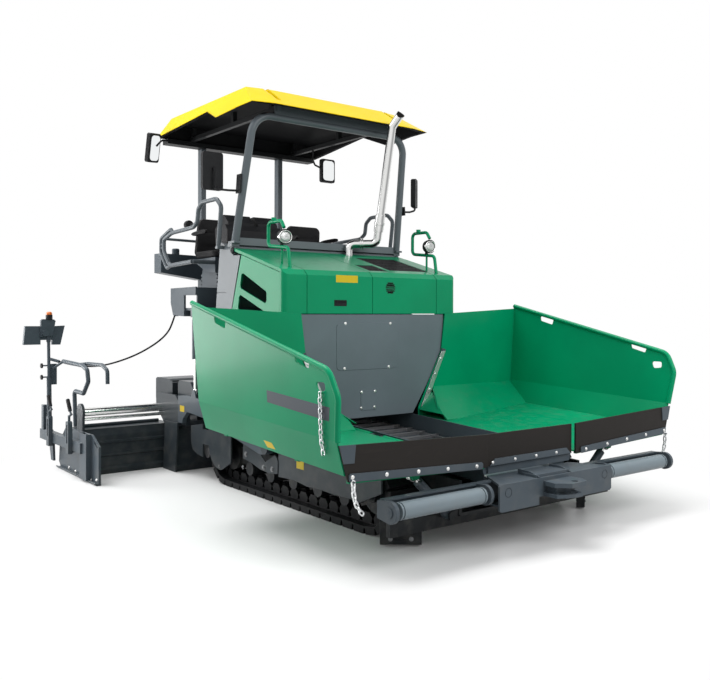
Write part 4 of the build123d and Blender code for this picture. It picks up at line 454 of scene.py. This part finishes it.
def mesh_of(name, points, faces):
    mesh = bpy.data.meshes.new(name)
    mesh.from_pydata([tuple(p) for p in points], [], faces)
    mesh.update()
    return mesh


def band(low, high, count):
    """Quads between two rings of points, given by the number of each ring's first point."""
    return [(low + i, low + (i + 1) % count, high + (i + 1) % count, high + i) for i in range(count)]


def faced_outward(mesh, weld=0.0):
    """Turns every face of a closed mesh outward, after welding points closer than a distance."""
    closed = bmesh.new()
    closed.from_mesh(mesh)
    if weld:
        bmesh.ops.remove_doubles(closed, verts=closed.verts, dist=weld)
    bmesh.ops.recalc_face_normals(closed, faces=closed.faces)
    closed.to_mesh(mesh)
    closed.free()
    return mesh


def sharpen(piece):
    """Shades smooth over shallow angles only."""
    mesh = bmesh.new()
    mesh.from_mesh(piece.data)
    for edge in mesh.edges:
        if len(edge.link_faces) == 2 and edge.calc_face_angle(0) > radians(35):
            edge.smooth = False
    mesh.to_mesh(piece.data)
    mesh.free()


def turned_profile(name, profile, place, axis, finish, body, segments=32, stretch=(1, 1)):
    """A closed turned piece: (radius, height) pairs swept round an axis, and stretched across it."""
    turn = Vector(axis).to_track_quat("Z", "Y")
    points, faces = [], []
    for radius, height in profile:
        for i in range(segments):
            angle = 2 * pi * i / segments
            points.append(Vector(place) + turn @ Vector(
                (radius * cos(angle) * stretch[0], radius * sin(angle) * stretch[1], height)))
    for ring in range(len(profile) - 1):
        faces += band(ring * segments, (ring + 1) * segments, segments)
    faces.append(tuple(range(segments))[::-1])
    faces.append(tuple(range((len(profile) - 1) * segments, len(profile) * segments)))
    piece = new_piece(name, mesh_of(name, points, faces), finish, body, True)
    sharpen(piece)
    return piece


def plate_on(name, corners, out, thickness, finish, body):
    """A flat plate or foil on a surface, given by its corners and the direction that it faces."""
    lift = Vector(out).normalized() * thickness
    base = [Vector(c) for c in corners]
    count = len(base)
    points = base + [p + lift for p in base]
    faces = [tuple(range(count)), tuple(range(2 * count - 1, count - 1, -1))]
    faces += [(i, i + count, (i + 1) % count + count, (i + 1) % count) for i in range(count)]
    return new_piece(name, faced_outward(mesh_of(name, points, faces)), finish, body)


def bolts(name, places, axis, radius, body, finish=zinc_screw, corners=6):
    """Screw or bolt heads in one mesh, each on a washer; rings are in shares of a head's radius."""
    turn = Vector(axis).to_track_quat("Z", "Y")
    twist = 0.7    # from one head to the next, in radians
    rings = ((1.45, 0.0, 24), (1.45, 0.18, 24), (1.0, 0.181, corners), (1.0, 0.6, corners),
             (0.84, 0.7, corners))
    points, faces = [], []
    for number, place in enumerate(places):
        lines = []
        for share, level, count in rings:
            lines.append((len(points), count))
            for i in range(count):
                angle = 2 * pi * i / count + number * twist
                points.append(Vector(place) + turn @ Vector(
                    (radius * share * cos(angle), radius * share * sin(angle), radius * level)))
        for (low, count), (high, next_count) in zip(lines, lines[1:]):
            if count == next_count:
                faces += band(low, high, count)
            else:
                faces.append(tuple(range(low, low + count)))
        start, count = lines[-1]
        faces.append(tuple(range(start, start + count)))
    new_piece(name, mesh_of(name, points, faces), finish, body)


def foil(name, corners, out, body, finish=foil_yellow, thickness=0.0006):
    plate_on(name, corners, out, thickness, finish, body)


def round_line(name, route, radius, finish, order=3, ring_steps=4, run_steps=8):
    """A round bar or cord along a smooth route."""
    curve = bpy.data.curves.new(name, "CURVE")
    curve.dimensions = "3D"
    curve.bevel_depth = radius
    curve.bevel_resolution = ring_steps
    curve.use_fill_caps = True
    path = curve.splines.new("NURBS")
    path.points.add(len(route) - 1)
    for point, place in zip(path.points, route):
        point.co = (*place, 1.0)
    path.order_u = order
    path.use_endpoint_u = True
    path.resolution_u = run_steps
    curve.materials.append(finish)
    return curve


# ------------------------------------------------------------ cable from the cowl to the control station
CABLE_ROUTE = (
    (-1.427, -0.893, 1.405), (-1.445, -0.911, 1.327), (-1.473, -0.938, 1.249), (-1.529, -0.994, 1.171),
    (-1.623, -1.089, 1.085), (-1.718, -1.186, 1.020), (-1.812, -1.281, 0.973), (-1.888, -1.359, 0.943),
    (-1.968, -1.440, 0.926), (-2.062, -1.536, 0.926), (-2.150, -1.626, 0.944), (-2.215, -1.694, 0.968))
cable = placed("station_cable", round_line("station cable", CABLE_ROUTE, 0.008, cable_rubber, 3, 5, 10))
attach(cable, "extension_right")
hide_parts("screed_cable")


# ------------------------------------------------------------ seats
SEAT_Y = -0.490
CUSHION_AT = (-1.200, SEAT_Y, 1.9645)
BACKREST_AT = (-1.394, SEAT_Y, 2.128)
BACKREST_LEAN = 7    # degrees
ARMREST = ((-1.410, 2.145), (-1.410, 2.175), (-1.300, 2.184), (-1.200, 2.188), (-1.120, 2.190),
           (-1.100, 2.170), (-1.120, 2.150), (-1.200, 2.149), (-1.300, 2.147))
ARMREST_WIDTH = 0.030
SHOULDER_PAD = ((0.030, -0.030), (0.040, -0.026), (0.044, -0.016), (0.044, 0.014), (0.040, 0.024),
                (0.028, 0.029))
SEAT_BAR_RADIUS = 0.011


def cushion(name, outline, depth, crown, place, turn, seams):
    """A crowned pad: its outline lies in the local plane, its front swells along +Z between sewn seams."""
    rings, count = 10, len(outline)
    seam_depth, seam_half_width = 0.010, 0.016
    points, faces = [], []
    for ring in range(rings + 1):
        share = ring / rings
        for corner in outline:
            x, y = corner[0] * share, corner[1] * share
            swell = crown * (1 - share ** 3.2)
            for seam in seams:
                near = max(0.0, 1 - abs(y - seam) / seam_half_width)
                swell -= seam_depth * near ** 1.5 * (1 - share ** 6)
            points.append((x, y, depth / 2 + swell))
    border = ((1.015, 0.32), (1.022, 0.12), (1.0, 0.0), (1.022, -0.12), (1.01, -0.34), (0.965, -0.5),
              (0.7, -0.54), (0.02, -0.56))    # shares of the outline and of the depth
    for share, level in border:
        for corner in outline:
            points.append((corner[0] * share, corner[1] * share, depth * level))
    total = rings + 1 + len(border)
    for ring in range(total - 1):
        faces += band(ring * count, (ring + 1) * count, count)
    faces.append(tuple(range((total - 1) * count, total * count)))
    matrix = Matrix.Translation(place) @ turn.to_matrix().to_4x4()
    mesh = faced_outward(mesh_of(name, [matrix @ Vector(p) for p in points], faces), weld=0.0002)
    piece = new_piece(name, mesh, seat_vinyl, "machine", True)
    return piece


def rounded(half_x, half_y, corner, lean=0.0):
    """Closed outline of a rounded rectangle, narrower towards +y by lean."""
    corner_steps, longest_run = 6, 0.03
    line = []
    for quarter, (sx, sy) in enumerate(((1, 1), (-1, 1), (-1, -1), (1, -1))):
        for i in range(corner_steps + 1):
            angle = pi / 2 * (quarter + i / corner_steps)
            x = sx * (half_x - corner) + corner * cos(angle)
            y = sy * (half_y - corner) + corner * sin(angle)
            line.append((x * (1 - lean * (y / half_y + 1) / 2), y))
    dense = []
    for a, b in zip(line, line[1:] + line[:1]):
        run = Vector((b[0] - a[0], b[1] - a[1]))
        pieces = max(1, int(run.length / longest_run))
        dense += [(a[0] + (b[0] - a[0]) * i / pieces, a[1] + (b[1] - a[1]) * i / pieces)
                  for i in range(pieces)]
    return dense


def tube_along(name, route, radius, finish, order=3):
    """A round bar of the machine along a smooth line."""
    piece = placed(name, round_line(name, route, radius, finish, order))
    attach(piece, "machine")
    return piece


def moulded_bar(name, outline, width, y, finish):
    """A bar moulded along a closed side outline, with rounded edges."""
    points, faces = [], []
    count = len(outline)
    middle_x = sum(x for x, z in outline) / count
    middle_z = sum(z for x, z in outline) / count
    for level, share in ((-0.5, 0.82), (-0.36, 1.0), (0.36, 1.0), (0.5, 0.82)):
        for x, z in outline:
            points.append((middle_x + (x - middle_x) * (1 - (1 - share) * 0.25), y + width * level,
                           middle_z + (z - middle_z) * share))
    for ring in range(3):
        faces += band(ring * count, (ring + 1) * count, count)
    faces += [tuple(range(count))[::-1], tuple(range(3 * count, 4 * count))]
    piece = new_piece(name, faced_outward(mesh_of(name, points, faces)), finish, "machine", True)
    smooth = piece.modifiers.new("rounding", "SUBSURF")
    smooth.levels = smooth.render_levels = 2
    return piece


def seat(side_name, side):
    """Cushion, backrest, armrests, their bar and the round pad behind the shoulder."""
    cushion_place, backrest_place = both_sides((CUSHION_AT, BACKREST_AT), side)
    upright = Euler((radians(90), 0, radians(90))).to_matrix()
    leaning = (upright @ Matrix.Rotation(radians(BACKREST_LEAN), 3, "X")).to_euler()
    made = [
        cushion("seat_cushion_" + side_name, rounded(0.198, 0.218, 0.06), 0.060, 0.012,
                cushion_place, Euler((0, 0, 0)), (-0.09, 0.09)),
        cushion("seat_backrest_" + side_name, rounded(0.205, 0.178, 0.055, lean=0.08), 0.052, 0.014,
                backrest_place, leaning, (-0.075, 0.06))]
    for place, y in (("outer", -0.731), ("inner", -0.249)):
        made.append(moulded_bar("armrest_%s_%s" % (place, side_name), ARMREST, ARMREST_WIDTH, y * side,
                                grip_plastic))
    made.append(tube_along("armrest_bar_" + side_name, both_sides(
        [(-1.3925, -0.728, 2.158), (-1.3925, -0.252, 2.158)], side), SEAT_BAR_RADIUS, black_plastic, 2))
    made.append(turned_profile("shoulder_pad_" + side_name, SHOULDER_PAD,
                               (-1.540, -0.700 * side, 2.262), (1, 0, 0), seat_vinyl, "machine"))
    made.append(tube_along("shoulder_pad_stalk_" + side_name, both_sides(
        [(-1.512, -0.700, 2.262), (-1.455, -0.690, 2.262), (-1.398, -0.652, 2.262)], side),
        SEAT_BAR_RADIUS, black_plastic))
    for piece in made:
        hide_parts("seats")


for side_name, side in SIDES:
    seat(side_name, side)


# ------------------------------------------------------------ handrails
RAIL_Y = -0.925
RAIL_RADIUS, LOOP_RADIUS, TIE_RADIUS, RUNG_RADIUS = 0.019, 0.015, 0.013, 0.008
RAIL_LINE = ((-0.517, 1.984), (-0.468, 2.314), (-0.552, 2.386), (-0.814, 2.382), (-0.887, 2.331),
             (-0.905, 2.225), (-0.979, 2.181), (-1.429, 2.164), (-1.597, 2.114), (-1.596, 2.006),
             (-1.470, 1.866), (-1.000, 1.882))
LOOP_LINE = ((-1.400, 2.166), (-1.440, 2.204), (-1.664, 2.130), (-1.668, 1.996), (-1.530, 1.842),
             (-1.440, 1.867))
RAIL_FEET = (("handrail_foot_", rectangle(-0.540, -0.494, -0.945, -0.886), 1.962, 1.990),
             ("handrail_tub_foot_", rectangle(-1.717, -1.664, -0.933, -0.880), 1.965, 1.985))


def bar_along(name, corners, radius, bend, side):
    """A bent round bar: straight runs between its corners, each rounded over a bend's length."""
    points = [Vector(corners[0])]
    for before, corner, after in zip(corners, corners[1:], corners[2:]):
        before, corner, after = Vector(before), Vector(corner), Vector(after)
        back, on = before - corner, after - corner
        points += [corner + back.normalized() * min(bend, back.length * 0.45), corner,
                   corner + on.normalized() * min(bend, on.length * 0.45)]
    points.append(Vector(corners[-1]))
    piece = tube_along(name, both_sides(points, side), radius, tube_paint_lightened_for_shine)
    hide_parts("side_rails")


def handrails(side_name, side):
    """The bent rail round a seat's outer side, its rear loop and rungs, its ties and feet."""
    bar_along("handrail_" + side_name, facing_right(RAIL_Y, RAIL_LINE), RAIL_RADIUS, 0.085, side)
    bar_along("handrail_loop_" + side_name, facing_right(RAIL_Y, LOOP_LINE), LOOP_RADIUS, 0.070, side)
    for number, z in enumerate((2.040, 2.075)):
        rung = facing_right(RAIL_Y, ((-1.668, z), (-1.630, z), (-1.592, z)))
        bar_along("handrail_rung_%d_%s" % (number + 1, side_name), rung, RUNG_RADIUS, 0.02, side)
    bar_along("handrail_tie_" + side_name,
              [(-1.655, RAIL_Y, 2.128), (-1.700, -0.698, 2.128), (-1.745, -0.471, 2.128)],
              TIE_RADIUS, 0.02, side)
    bar_along("handrail_seat_tie_" + side_name,
              [(-1.000, RAIL_Y, 1.882), (-1.000, -0.820, 1.882), (-1.000, -0.711, 1.882)],
              RAIL_RADIUS, 0.02, side)
    for name, outline, low, high in RAIL_FEET:
        corners = both_sides([(x, y, low) for x, y in outline], side)
        foot = plate_on(name + side_name, corners, (0, 0, 1), high - low, tube_paint_lightened_for_shine, "machine")
        edge = foot.modifiers.new("rounded edges", "BEVEL")
        edge.width = 0.005
        edge.segments = 2
        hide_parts("side_rails")


for side_name, side in SIDES:
    handrails(side_name, side)


# ------------------------------------------------------------ roof
CROWN_Z = 3.295    # what lies above it is the raised middle field
CROWN_MIDDLE, CROWN_FRONT, CROWN_REAR = -0.8, -0.55, -1.40
CROWN_NARROWED = 0.72


def roof():
    """The roof shell, whose middle field rises in a low crown well behind its front edge."""
    shell = bpy.data.objects["canopy_roof"]
    mesh = bmesh.new()
    mesh.from_mesh(shell.data)
    for point in mesh.verts:
        point.co = shell.matrix_world @ point.co
        if point.co.z > CROWN_Z:
            point.co.x = CROWN_FRONT if point.co.x > CROWN_MIDDLE else CROWN_REAR
            point.co.y *= CROWN_NARROWED
    crowned = bpy.data.meshes.new("roof shell")
    mesh.to_mesh(crowned)
    mesh.free()
    piece = new_piece("roof_shell", crowned, roof_finish, "machine")
    edges = piece.modifiers.new("rounded edges", "BEVEL")
    edges.width = 0.018
    edges.segments = 3
    edges.limit_method = "ANGLE"
    edges.angle_limit = radians(14)
    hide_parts("canopy_roof")


roof()


# ------------------------------------------------------------ lamps, beacons, grips and knobs
LAMP_LENS = ((0.050, 0.046), (0.0515, 0.0515), (0.046, 0.0585), (0.034, 0.0635), (0.018, 0.066),
             (0.002, 0.0665))
LAMP_RIM = ((0.0535, 0.046), (0.0535, 0.060), (0.057, 0.0625), (0.0605, 0.060), (0.0605, 0.045))
LAMP_TILT = radians(4)
BEACON = ((0.0275, 0.000), (0.0285, 0.004), (0.0285, 0.012), (0.0265, 0.019), (0.0215, 0.0255),
          (0.013, 0.0295), (0.002, 0.031))
BEACON_BASE = ((0.030, -0.049), (0.031, -0.046), (0.031, -0.006), (0.0295, 0.0005), (0.026, 0.001))
CRANK_GRIP = ((0.0125, 0.24), (0.0165, 0.27), (0.0172, 0.5), (0.0168, 0.8), (0.0172, 0.94),
              (0.015, 1.005), (0.008, 1.02))    # radius, and share of the crank's arm
KNOB = ((0.0228, 0.0), (0.0232, 0.003), (0.0232, 0.013), (0.021, 0.0162), (0.004, 0.0168))

lamp_lens = lens_glass()
lamp_faces = Vector((cos(LAMP_TILT), 0, -sin(LAMP_TILT)))
for side_name, side in SIDES:
    spot = Vector((0.196, -0.756 * side, 2.024))
    lens = turned_profile("work_lamp_lens_" + side_name, LAMP_LENS, spot, lamp_faces, lamp_lens, "machine",
                          40, (1, 0.82))
    rim = turned_profile("work_lamp_rim_" + side_name, LAMP_RIM, spot, lamp_faces, chrome, "machine",
                         40, (1, 0.84))

beacon_amber = amber()
for side_name, side in SIDES:
    body = "extension_" + side_name
    spot = Vector((-2.282, -1.768 * side, 1.407))
    hood = turned_profile("beacon_hood_" + side_name, BEACON, spot, (0, 0, 1), beacon_amber, body)
    base = turned_profile("beacon_base_" + side_name, BEACON_BASE, spot, (0, 0, 1), black_plastic, body)
    for number, (x, z) in enumerate(((-2.105, 0.478), (-1.560, 0.486))):
        foot = Vector((x + 0.050, -1.816 * side, z + 0.062))
        arm = Vector((x - 0.040, -1.816 * side, z + 0.185)) - foot
        profile = [(radius, arm.length * share) for radius, share in CRANK_GRIP]
        grip = turned_profile("crank_grip_%d_%s" % (number + 1, side_name), profile, foot, arm,
                              grip_plastic, body, 24)
    for number, z in enumerate((0.930, 0.822)):
        knob = turned_profile("station_knob_%d_%s" % (number + 1, side_name), KNOB,
                              (-2.290, -1.826 * side, z), (0, -side, 0), grip_plastic, body, 28)


# ------------------------------------------------------------ mirrors
# centre, thickness, width, height, and turns in degrees about X, the turned Y and the turned Z
MIRRORS = (((-0.454, -1.020, 2.592), 0.046, 0.184, 0.310, (0, 0, 0)),
           ((-0.226, 0.985, 2.562), 0.046, 0.120, 0.270, (0, 0, 38)),
           ((-1.325, 0.757, 2.900), 0.046, 0.170, 0.240, (0, 0, 180)),
           ((-1.650, -1.010, 2.972), 0.046, 0.150, 0.270, (0, 14, 205)))
MIRROR_BORDER_SIDE, MIRROR_BORDER_TOP, MIRROR_CORNER = 0.017, 0.019, 0.034

silver = mirror_glass()
for number, (centre, thick, wide, tall, (x_turn, y_turn, z_turn)) in enumerate(MIRRORS):
    turned = (Matrix.Rotation(radians(x_turn), 3, "X") @ Matrix.Rotation(radians(y_turn), 3, "Y")
              @ Matrix.Rotation(radians(z_turn), 3, "Z"))
    outline = rounded(wide / 2 - MIRROR_BORDER_SIDE, tall / 2 - MIRROR_BORDER_TOP, MIRROR_CORNER)
    corners = [Vector(centre) + turned @ Vector((-thick / 2, y, z)) for y, z in outline]
    glass = plate_on("mirror_glass_%d" % (number + 1), corners, turned @ Vector((-1, 0, 0)), 0.0012,
                     silver, "machine")


# ------------------------------------------------------------ screws and bolts
ROUND_HEAD = 24    # corners
FRONT = (1, 0, 0)
CLAMP_BOLTS = ((-1.488, 0.545), (-1.248, 0.533), (-1.011, 0.522), (-0.778, 0.510), (-0.535, 0.498))
SEAL_STRIP = ((-0.463, 0.641), (-0.511, 0.641), (-0.744, 1.107), (-0.697, 1.107))
GATE_BOLTS = ((-1.786, 0.039), (-1.616, 0.032), (-1.420, 0.029), (-1.232, 0.021), (-1.096, 0.038))
BRACKET_BOLTS = ((-0.041, 0.318), (0.227, 0.254), (0.350, 0.259))
TAIL_BOLTS = ((-0.492, 0.155), (-0.097, 0.207))
WALL_SCREWS = ((-0.316, 1.350), (0.142, 1.347), (-0.323, 0.995), (0.127, 0.993), (-0.153, 0.799),
               (-0.017, 0.800), (-0.157, 0.673), (-0.022, 0.673))

for side_name, side in SIDES:
    wing, outward = "wing_" + side_name, (0, -side, 0)
    bolts("flap_clamp_bolts_" + side_name, both_sides(facing_front(2.087, CLAMP_BOLTS), side),
          FRONT, 0.0085, wing, corners=ROUND_HEAD)
    strip = plate_on("seal_strip_face_" + side_name, both_sides(facing_front(0.464, SEAL_STRIP), side),
                     FRONT, 0.0012, bright_strip, wing)
    along_strip = [(-(0.487 + (z - 0.640) * 0.498), z) for z in (0.656, 0.785, 0.912, 1.043)]
    bolts("seal_strip_bolts_" + side_name, both_sides(facing_front(0.4652, along_strip), side),
          FRONT, 0.0085, wing, corners=ROUND_HEAD)
    bolts("side_gate_bolts_" + side_name, both_sides(facing_right(-1.740, GATE_BOLTS), side),
          outward, 0.011, "extension_" + side_name)
    bolts("tow_bracket_bolts_" + side_name, both_sides(facing_right(-0.930, BRACKET_BOLTS), side),
          outward, 0.015, "machine", black_bolt)
    bolts("skirt_tail_bolts_" + side_name, both_sides(facing_right(-0.926, TAIL_BOLTS), side),
          outward, 0.011, "machine", black_bolt)
    bolts("hoop_foot_bolts_" + side_name, both_sides(
        [(-0.370, -0.864, 2.020), (-0.330, -0.864, 2.020)], side), (0, 0, 1), 0.010, "machine")
    slant = Matrix.Rotation(radians(-38) * side, 3, "Z")
    deflector = Vector((1.800, -0.900 * side, 0.088))
    bolts("deflector_bolts_" + side_name, [
        deflector + slant @ Vector((0.0, y, z)) for y in (-0.064, 0.064) for z in (-0.038, 0.038)],
        slant @ Vector(FRONT), 0.010, "machine", black_bolt)
bolts("centre_clamp_bolts", [(2.067, y, 0.500) for y in (-0.373, -0.166, 0.038, 0.243)],
      FRONT, 0.0075, "machine", corners=ROUND_HEAD)
bolts("wall_cover_screws", facing_front(0.441, WALL_SCREWS), FRONT, 0.0085, "machine",
      corners=ROUND_HEAD)


# ------------------------------------------------------------ foils, stripes, and painted shade in the hood's vent slots and latch recess
WING_FRONT_X, FOLD_Y = 2.059, 1.583
WALL_LEAN, FLOOR_LEAN = 0.085, 55 / 190    # sideways for each metre up, above and below the fold
STRIPE = ((1.376, 0.970), (2.026, 0.925), (2.012, 0.848), (1.373, 0.897))
WING_FOIL = ((1.250, 0.648), (1.343, 0.643), (1.371, 0.606), (1.279, 0.607))
VENT_Y, VENT_Z, VENT_RADIUS, VENT_PITCH, VENT_HALF_SLOT = 0.145, 1.638, 0.052, 0.0138, 0.0036


def fold_z(x):
    """Height of the fold in a wing's outer wall."""
    return 0.742 + 0.049 * (WING_FRONT_X - x)


for side_name, side in SIDES:
    corners = both_sides([(x, -(FOLD_Y + WALL_LEAN * (z - fold_z(x))), z) for x, z in STRIPE], side)
    foil("wing_stripe_" + side_name, corners, (0, -side, -WALL_LEAN), "wing_" + side_name,
         paint_stripe)
foil("wing_foil", [(x, -(FOLD_Y - (fold_z(x) - z) * FLOOR_LEAN), z) for x, z in WING_FOIL],
     (0, -1, -0.289), "wing_right")
foil("hood_foil", facing_front(0.438, rectangle(-0.407, -0.193, 1.672, 1.729)), FRONT, "machine")
foil("skirt_foil", facing_right(-0.926, rectangle(0.676, 0.770, 0.317, 0.374)), (0, -1, 0), "machine")
foil("arm_foil", facing_right(-0.976, rectangle(-1.138, -1.052, 0.554, 0.607)), (0, -1, 0), "screed")

# painted shade: black plates in the vent's slots, which are dark from the shade inside them
for number, level in enumerate(range(-3, 4)):
    offset = VENT_PITCH * level
    half, z = (VENT_RADIUS ** 2 - offset ** 2) ** 0.5, VENT_Z + offset
    slot_outline = rectangle(VENT_Y - half, VENT_Y + half, z - VENT_HALF_SLOT, z + VENT_HALF_SLOT)
    foil("hood_vent_slot_shade_%d" % (number + 1), facing_front(0.4385, slot_outline), FRONT, "machine",
         black_plastic)
# painted shade: a black plate over the latch's recess, which is dark from the shade in it
foil("hood_latch_well_shade", facing_front(0.4383, rectangle(-0.424, -0.304, 1.486, 1.534)), FRONT,
     "machine", black_plastic)
foil("hood_latch_lip", facing_front(0.4390, rectangle(-0.414, -0.314, 1.516, 1.529)), FRONT,
     "machine", grip_plastic, 0.002)


# ------------------------------------------------------------ exhaust and cowl cap
MOUTH, MOUTH_RADIUS = Vector((0.205, 0.455, 3.160)), 0.06
FLOW = Vector((0.087, 0.030, 0.105)).normalized()
CUT_FACES = Vector((0.84, -0.30, 0.45)).normalized()
SQUARE_ON = 0.98    # least cosine between a face of the mouth and the direction that it looks in


def exhaust_pipe():
    """The exhaust, cut off at a slant at its top, where its mouth is closed by faces painted black for the
    soot and the shade inside the open pipe.
    """
    pipe = bpy.data.objects["exhaust"]
    cut = bmesh.new()
    cut.from_mesh(pipe.data)
    cut.transform(pipe.matrix_world)
    bmesh.ops.remove_doubles(cut, verts=cut.verts, dist=0.00002)
    bmesh.ops.bisect_plane(cut, geom=cut.verts[:] + cut.edges[:] + cut.faces[:],
                           plane_co=MOUTH - FLOW * 0.006, plane_no=CUT_FACES, clear_outer=True)
    opened = [edge for edge in cut.edges if edge.is_boundary]
    bmesh.ops.holes_fill(cut, edges=opened, sides=0)
    cut.normal_update()
    # painted shade and soot: the faces closing the mouth take the black finish
    for face in cut.faces:
        near = (face.calc_center_median() - MOUTH).length < MOUTH_RADIUS
        if near and max(face.normal.dot(CUT_FACES), face.normal.dot(FLOW)) > SQUARE_ON:
            face.material_index = 1
    mesh = bpy.data.meshes.new("exhaust pipe")
    cut.to_mesh(mesh)
    cut.free()
    piece = new_piece("exhaust_pipe", mesh, stainless, "machine", True)
    mesh.materials.append(soot_and_shade_black())
    sharpen(piece)
    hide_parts("exhaust")


exhaust_pipe()
cap = turned_profile("cowl_cap", [(0.026, -0.002), (0.026, 0.006), (0.0225, 0.0105), (0.004, 0.0115)],
                     (-0.343, -0.886, 1.944), (0, -1, 0), black_plastic, "machine", 28)


# ------------------------------------------------------------ floor, world and light
WORLD_LIGHT, WORLD_SEEN = 0.45, 1.0
FLOOR_SEEN, FLOOR_BOUNCE = 0.80, 0.36
FLOOR_SHEEN, FLOOR_GLOW = 0.10, 0.03
FLOOR_CENTRE, FLOOR_NEAR, FLOOR_FAR = (0.5, -0.45, 0.0), 1.8, 3.6
FLOOR_RADIUS, FLOOR_CORNERS = 60, 64


def seen_directly(tree):
    """1 for camera, mirror and glass rays, 0 for the light that falls on the object."""
    path = add_node(tree, "ShaderNodeLightPath").outputs
    first = add_node(tree, "ShaderNodeMath", {"operation": "MAXIMUM"},
                     (path["Is Camera Ray"], path["Is Glossy Ray"]))
    second = add_node(tree, "ShaderNodeMath", {"operation": "MAXIMUM"},
                      (first.outputs[0], path["Is Transmission Ray"]))
    return second.outputs[0]


def white_world():
    """Plain white wherever it is seen, and dimmer as a light."""
    world = bpy.data.worlds.new("studio")
    bpy.context.scene.world = world
    world.use_nodes = True
    sky = world.node_tree
    strength = add_node(sky, "ShaderNodeMapRange", None, {
        "To Min": WORLD_LIGHT, "To Max": WORLD_SEEN, "Value": seen_directly(sky)})
    backdrop = sky.nodes["Background"]
    backdrop.inputs["Color"].default_value = (1, 1, 1, 1)
    sky.links.new(strength.outputs["Result"], backdrop.inputs["Strength"])


def floor_white():
    """A floor with shadows and a faint sheen near the object and plain white further off, where seen."""
    ground = bpy.data.materials.new("studio floor")
    ground.use_nodes = True
    tree = ground.node_tree
    tree.nodes.remove(tree.nodes["Principled BSDF"])
    matt = add_node(tree, "ShaderNodeBsdfDiffuse", None, {"Color": (FLOOR_SEEN,) * 3 + (1,)})
    dull = add_node(tree, "ShaderNodeBsdfDiffuse", None, {"Color": (FLOOR_BOUNCE,) * 3 + (1,)})
    sheen = add_node(tree, "ShaderNodeBsdfGlossy", None, {"Roughness": 0.22})
    polished = add_node(tree, "ShaderNodeMixShader", None,
                        (FLOOR_SHEEN, matt.outputs[0], sheen.outputs[0]))
    glow = add_node(tree, "ShaderNodeEmission", None, {"Strength": FLOOR_GLOW})
    lit = add_node(tree, "ShaderNodeAddShader", None, (polished.outputs[0], glow.outputs[0]))
    white = add_node(tree, "ShaderNodeEmission", None, {"Strength": 1.0})
    place = add_node(tree, "ShaderNodeTexCoord").outputs["Object"]
    distance = add_node(tree, "ShaderNodeVectorMath", {"operation": "DISTANCE"}, (place, FLOOR_CENTRE))
    far = add_node(tree, "ShaderNodeMapRange", {"interpolation_type": "SMOOTHSTEP"}, {
        "Value": distance.outputs["Value"], "From Min": FLOOR_NEAR, "From Max": FLOOR_FAR})
    seen = seen_directly(tree)
    share = add_node(tree, "ShaderNodeMath", {"operation": "MULTIPLY"}, (far.outputs["Result"], seen))
    near = add_node(tree, "ShaderNodeMixShader", None, (seen, dull.outputs[0], lit.outputs[0]))
    whole = add_node(tree, "ShaderNodeMixShader", None,
                     (share.outputs[0], near.outputs[0], white.outputs[0]))
    tree.links.new(whole.outputs[0], tree.nodes["Material Output"].inputs["Surface"])
    return ground


white_world()
angles = [2 * pi * i / FLOOR_CORNERS for i in range(FLOOR_CORNERS)]
rim_points = [(FLOOR_RADIUS * cos(angle), FLOOR_RADIUS * sin(angle), 0.0) for angle in angles]
floor = placed("studio_floor", mesh_of("studio floor", rim_points, [tuple(range(FLOOR_CORNERS))]))
floor.data.materials.append(floor_white())


def softbox(name, place, target, width, height, radiance):
    """A rectangular lamp, given by how bright its face looks."""
    light = bpy.data.lights.new(name, "AREA")
    light.shape = "RECTANGLE"
    light.size, light.size_y = width, height
    light.energy = radiance * pi * width * height
    aim = (Vector(target) - Vector(place)).to_track_quat("-Z", "Y")
    placed(name, light).matrix_world = Matrix.Translation(place) @ aim.to_matrix().to_4x4()


sun = bpy.data.lights.new("large soft lamp overhead", "SUN")
sun.energy = 2.2
sun.angle = radians(34)
sun_from = Vector((-0.45, -0.12, 1.0))
placed("large soft lamp overhead", sun).rotation_euler = sun_from.to_track_quat("Z", "Y").to_euler()
softbox("high right softbox", (-1.2, -4.6, 5.6), (0.2, -1.0, 1.4), 4.5, 3.0, 2.8)
softbox("low rear softbox", (-4.3, -4.2, 1.5), (0.6, -1.6, 1.2), 3.0, 2.6, 6.0)
softbox("front softbox", (6.0, 0.5, 4.5), (0.5, 0.0, 1.2), 4.0, 4.0, 4.2)
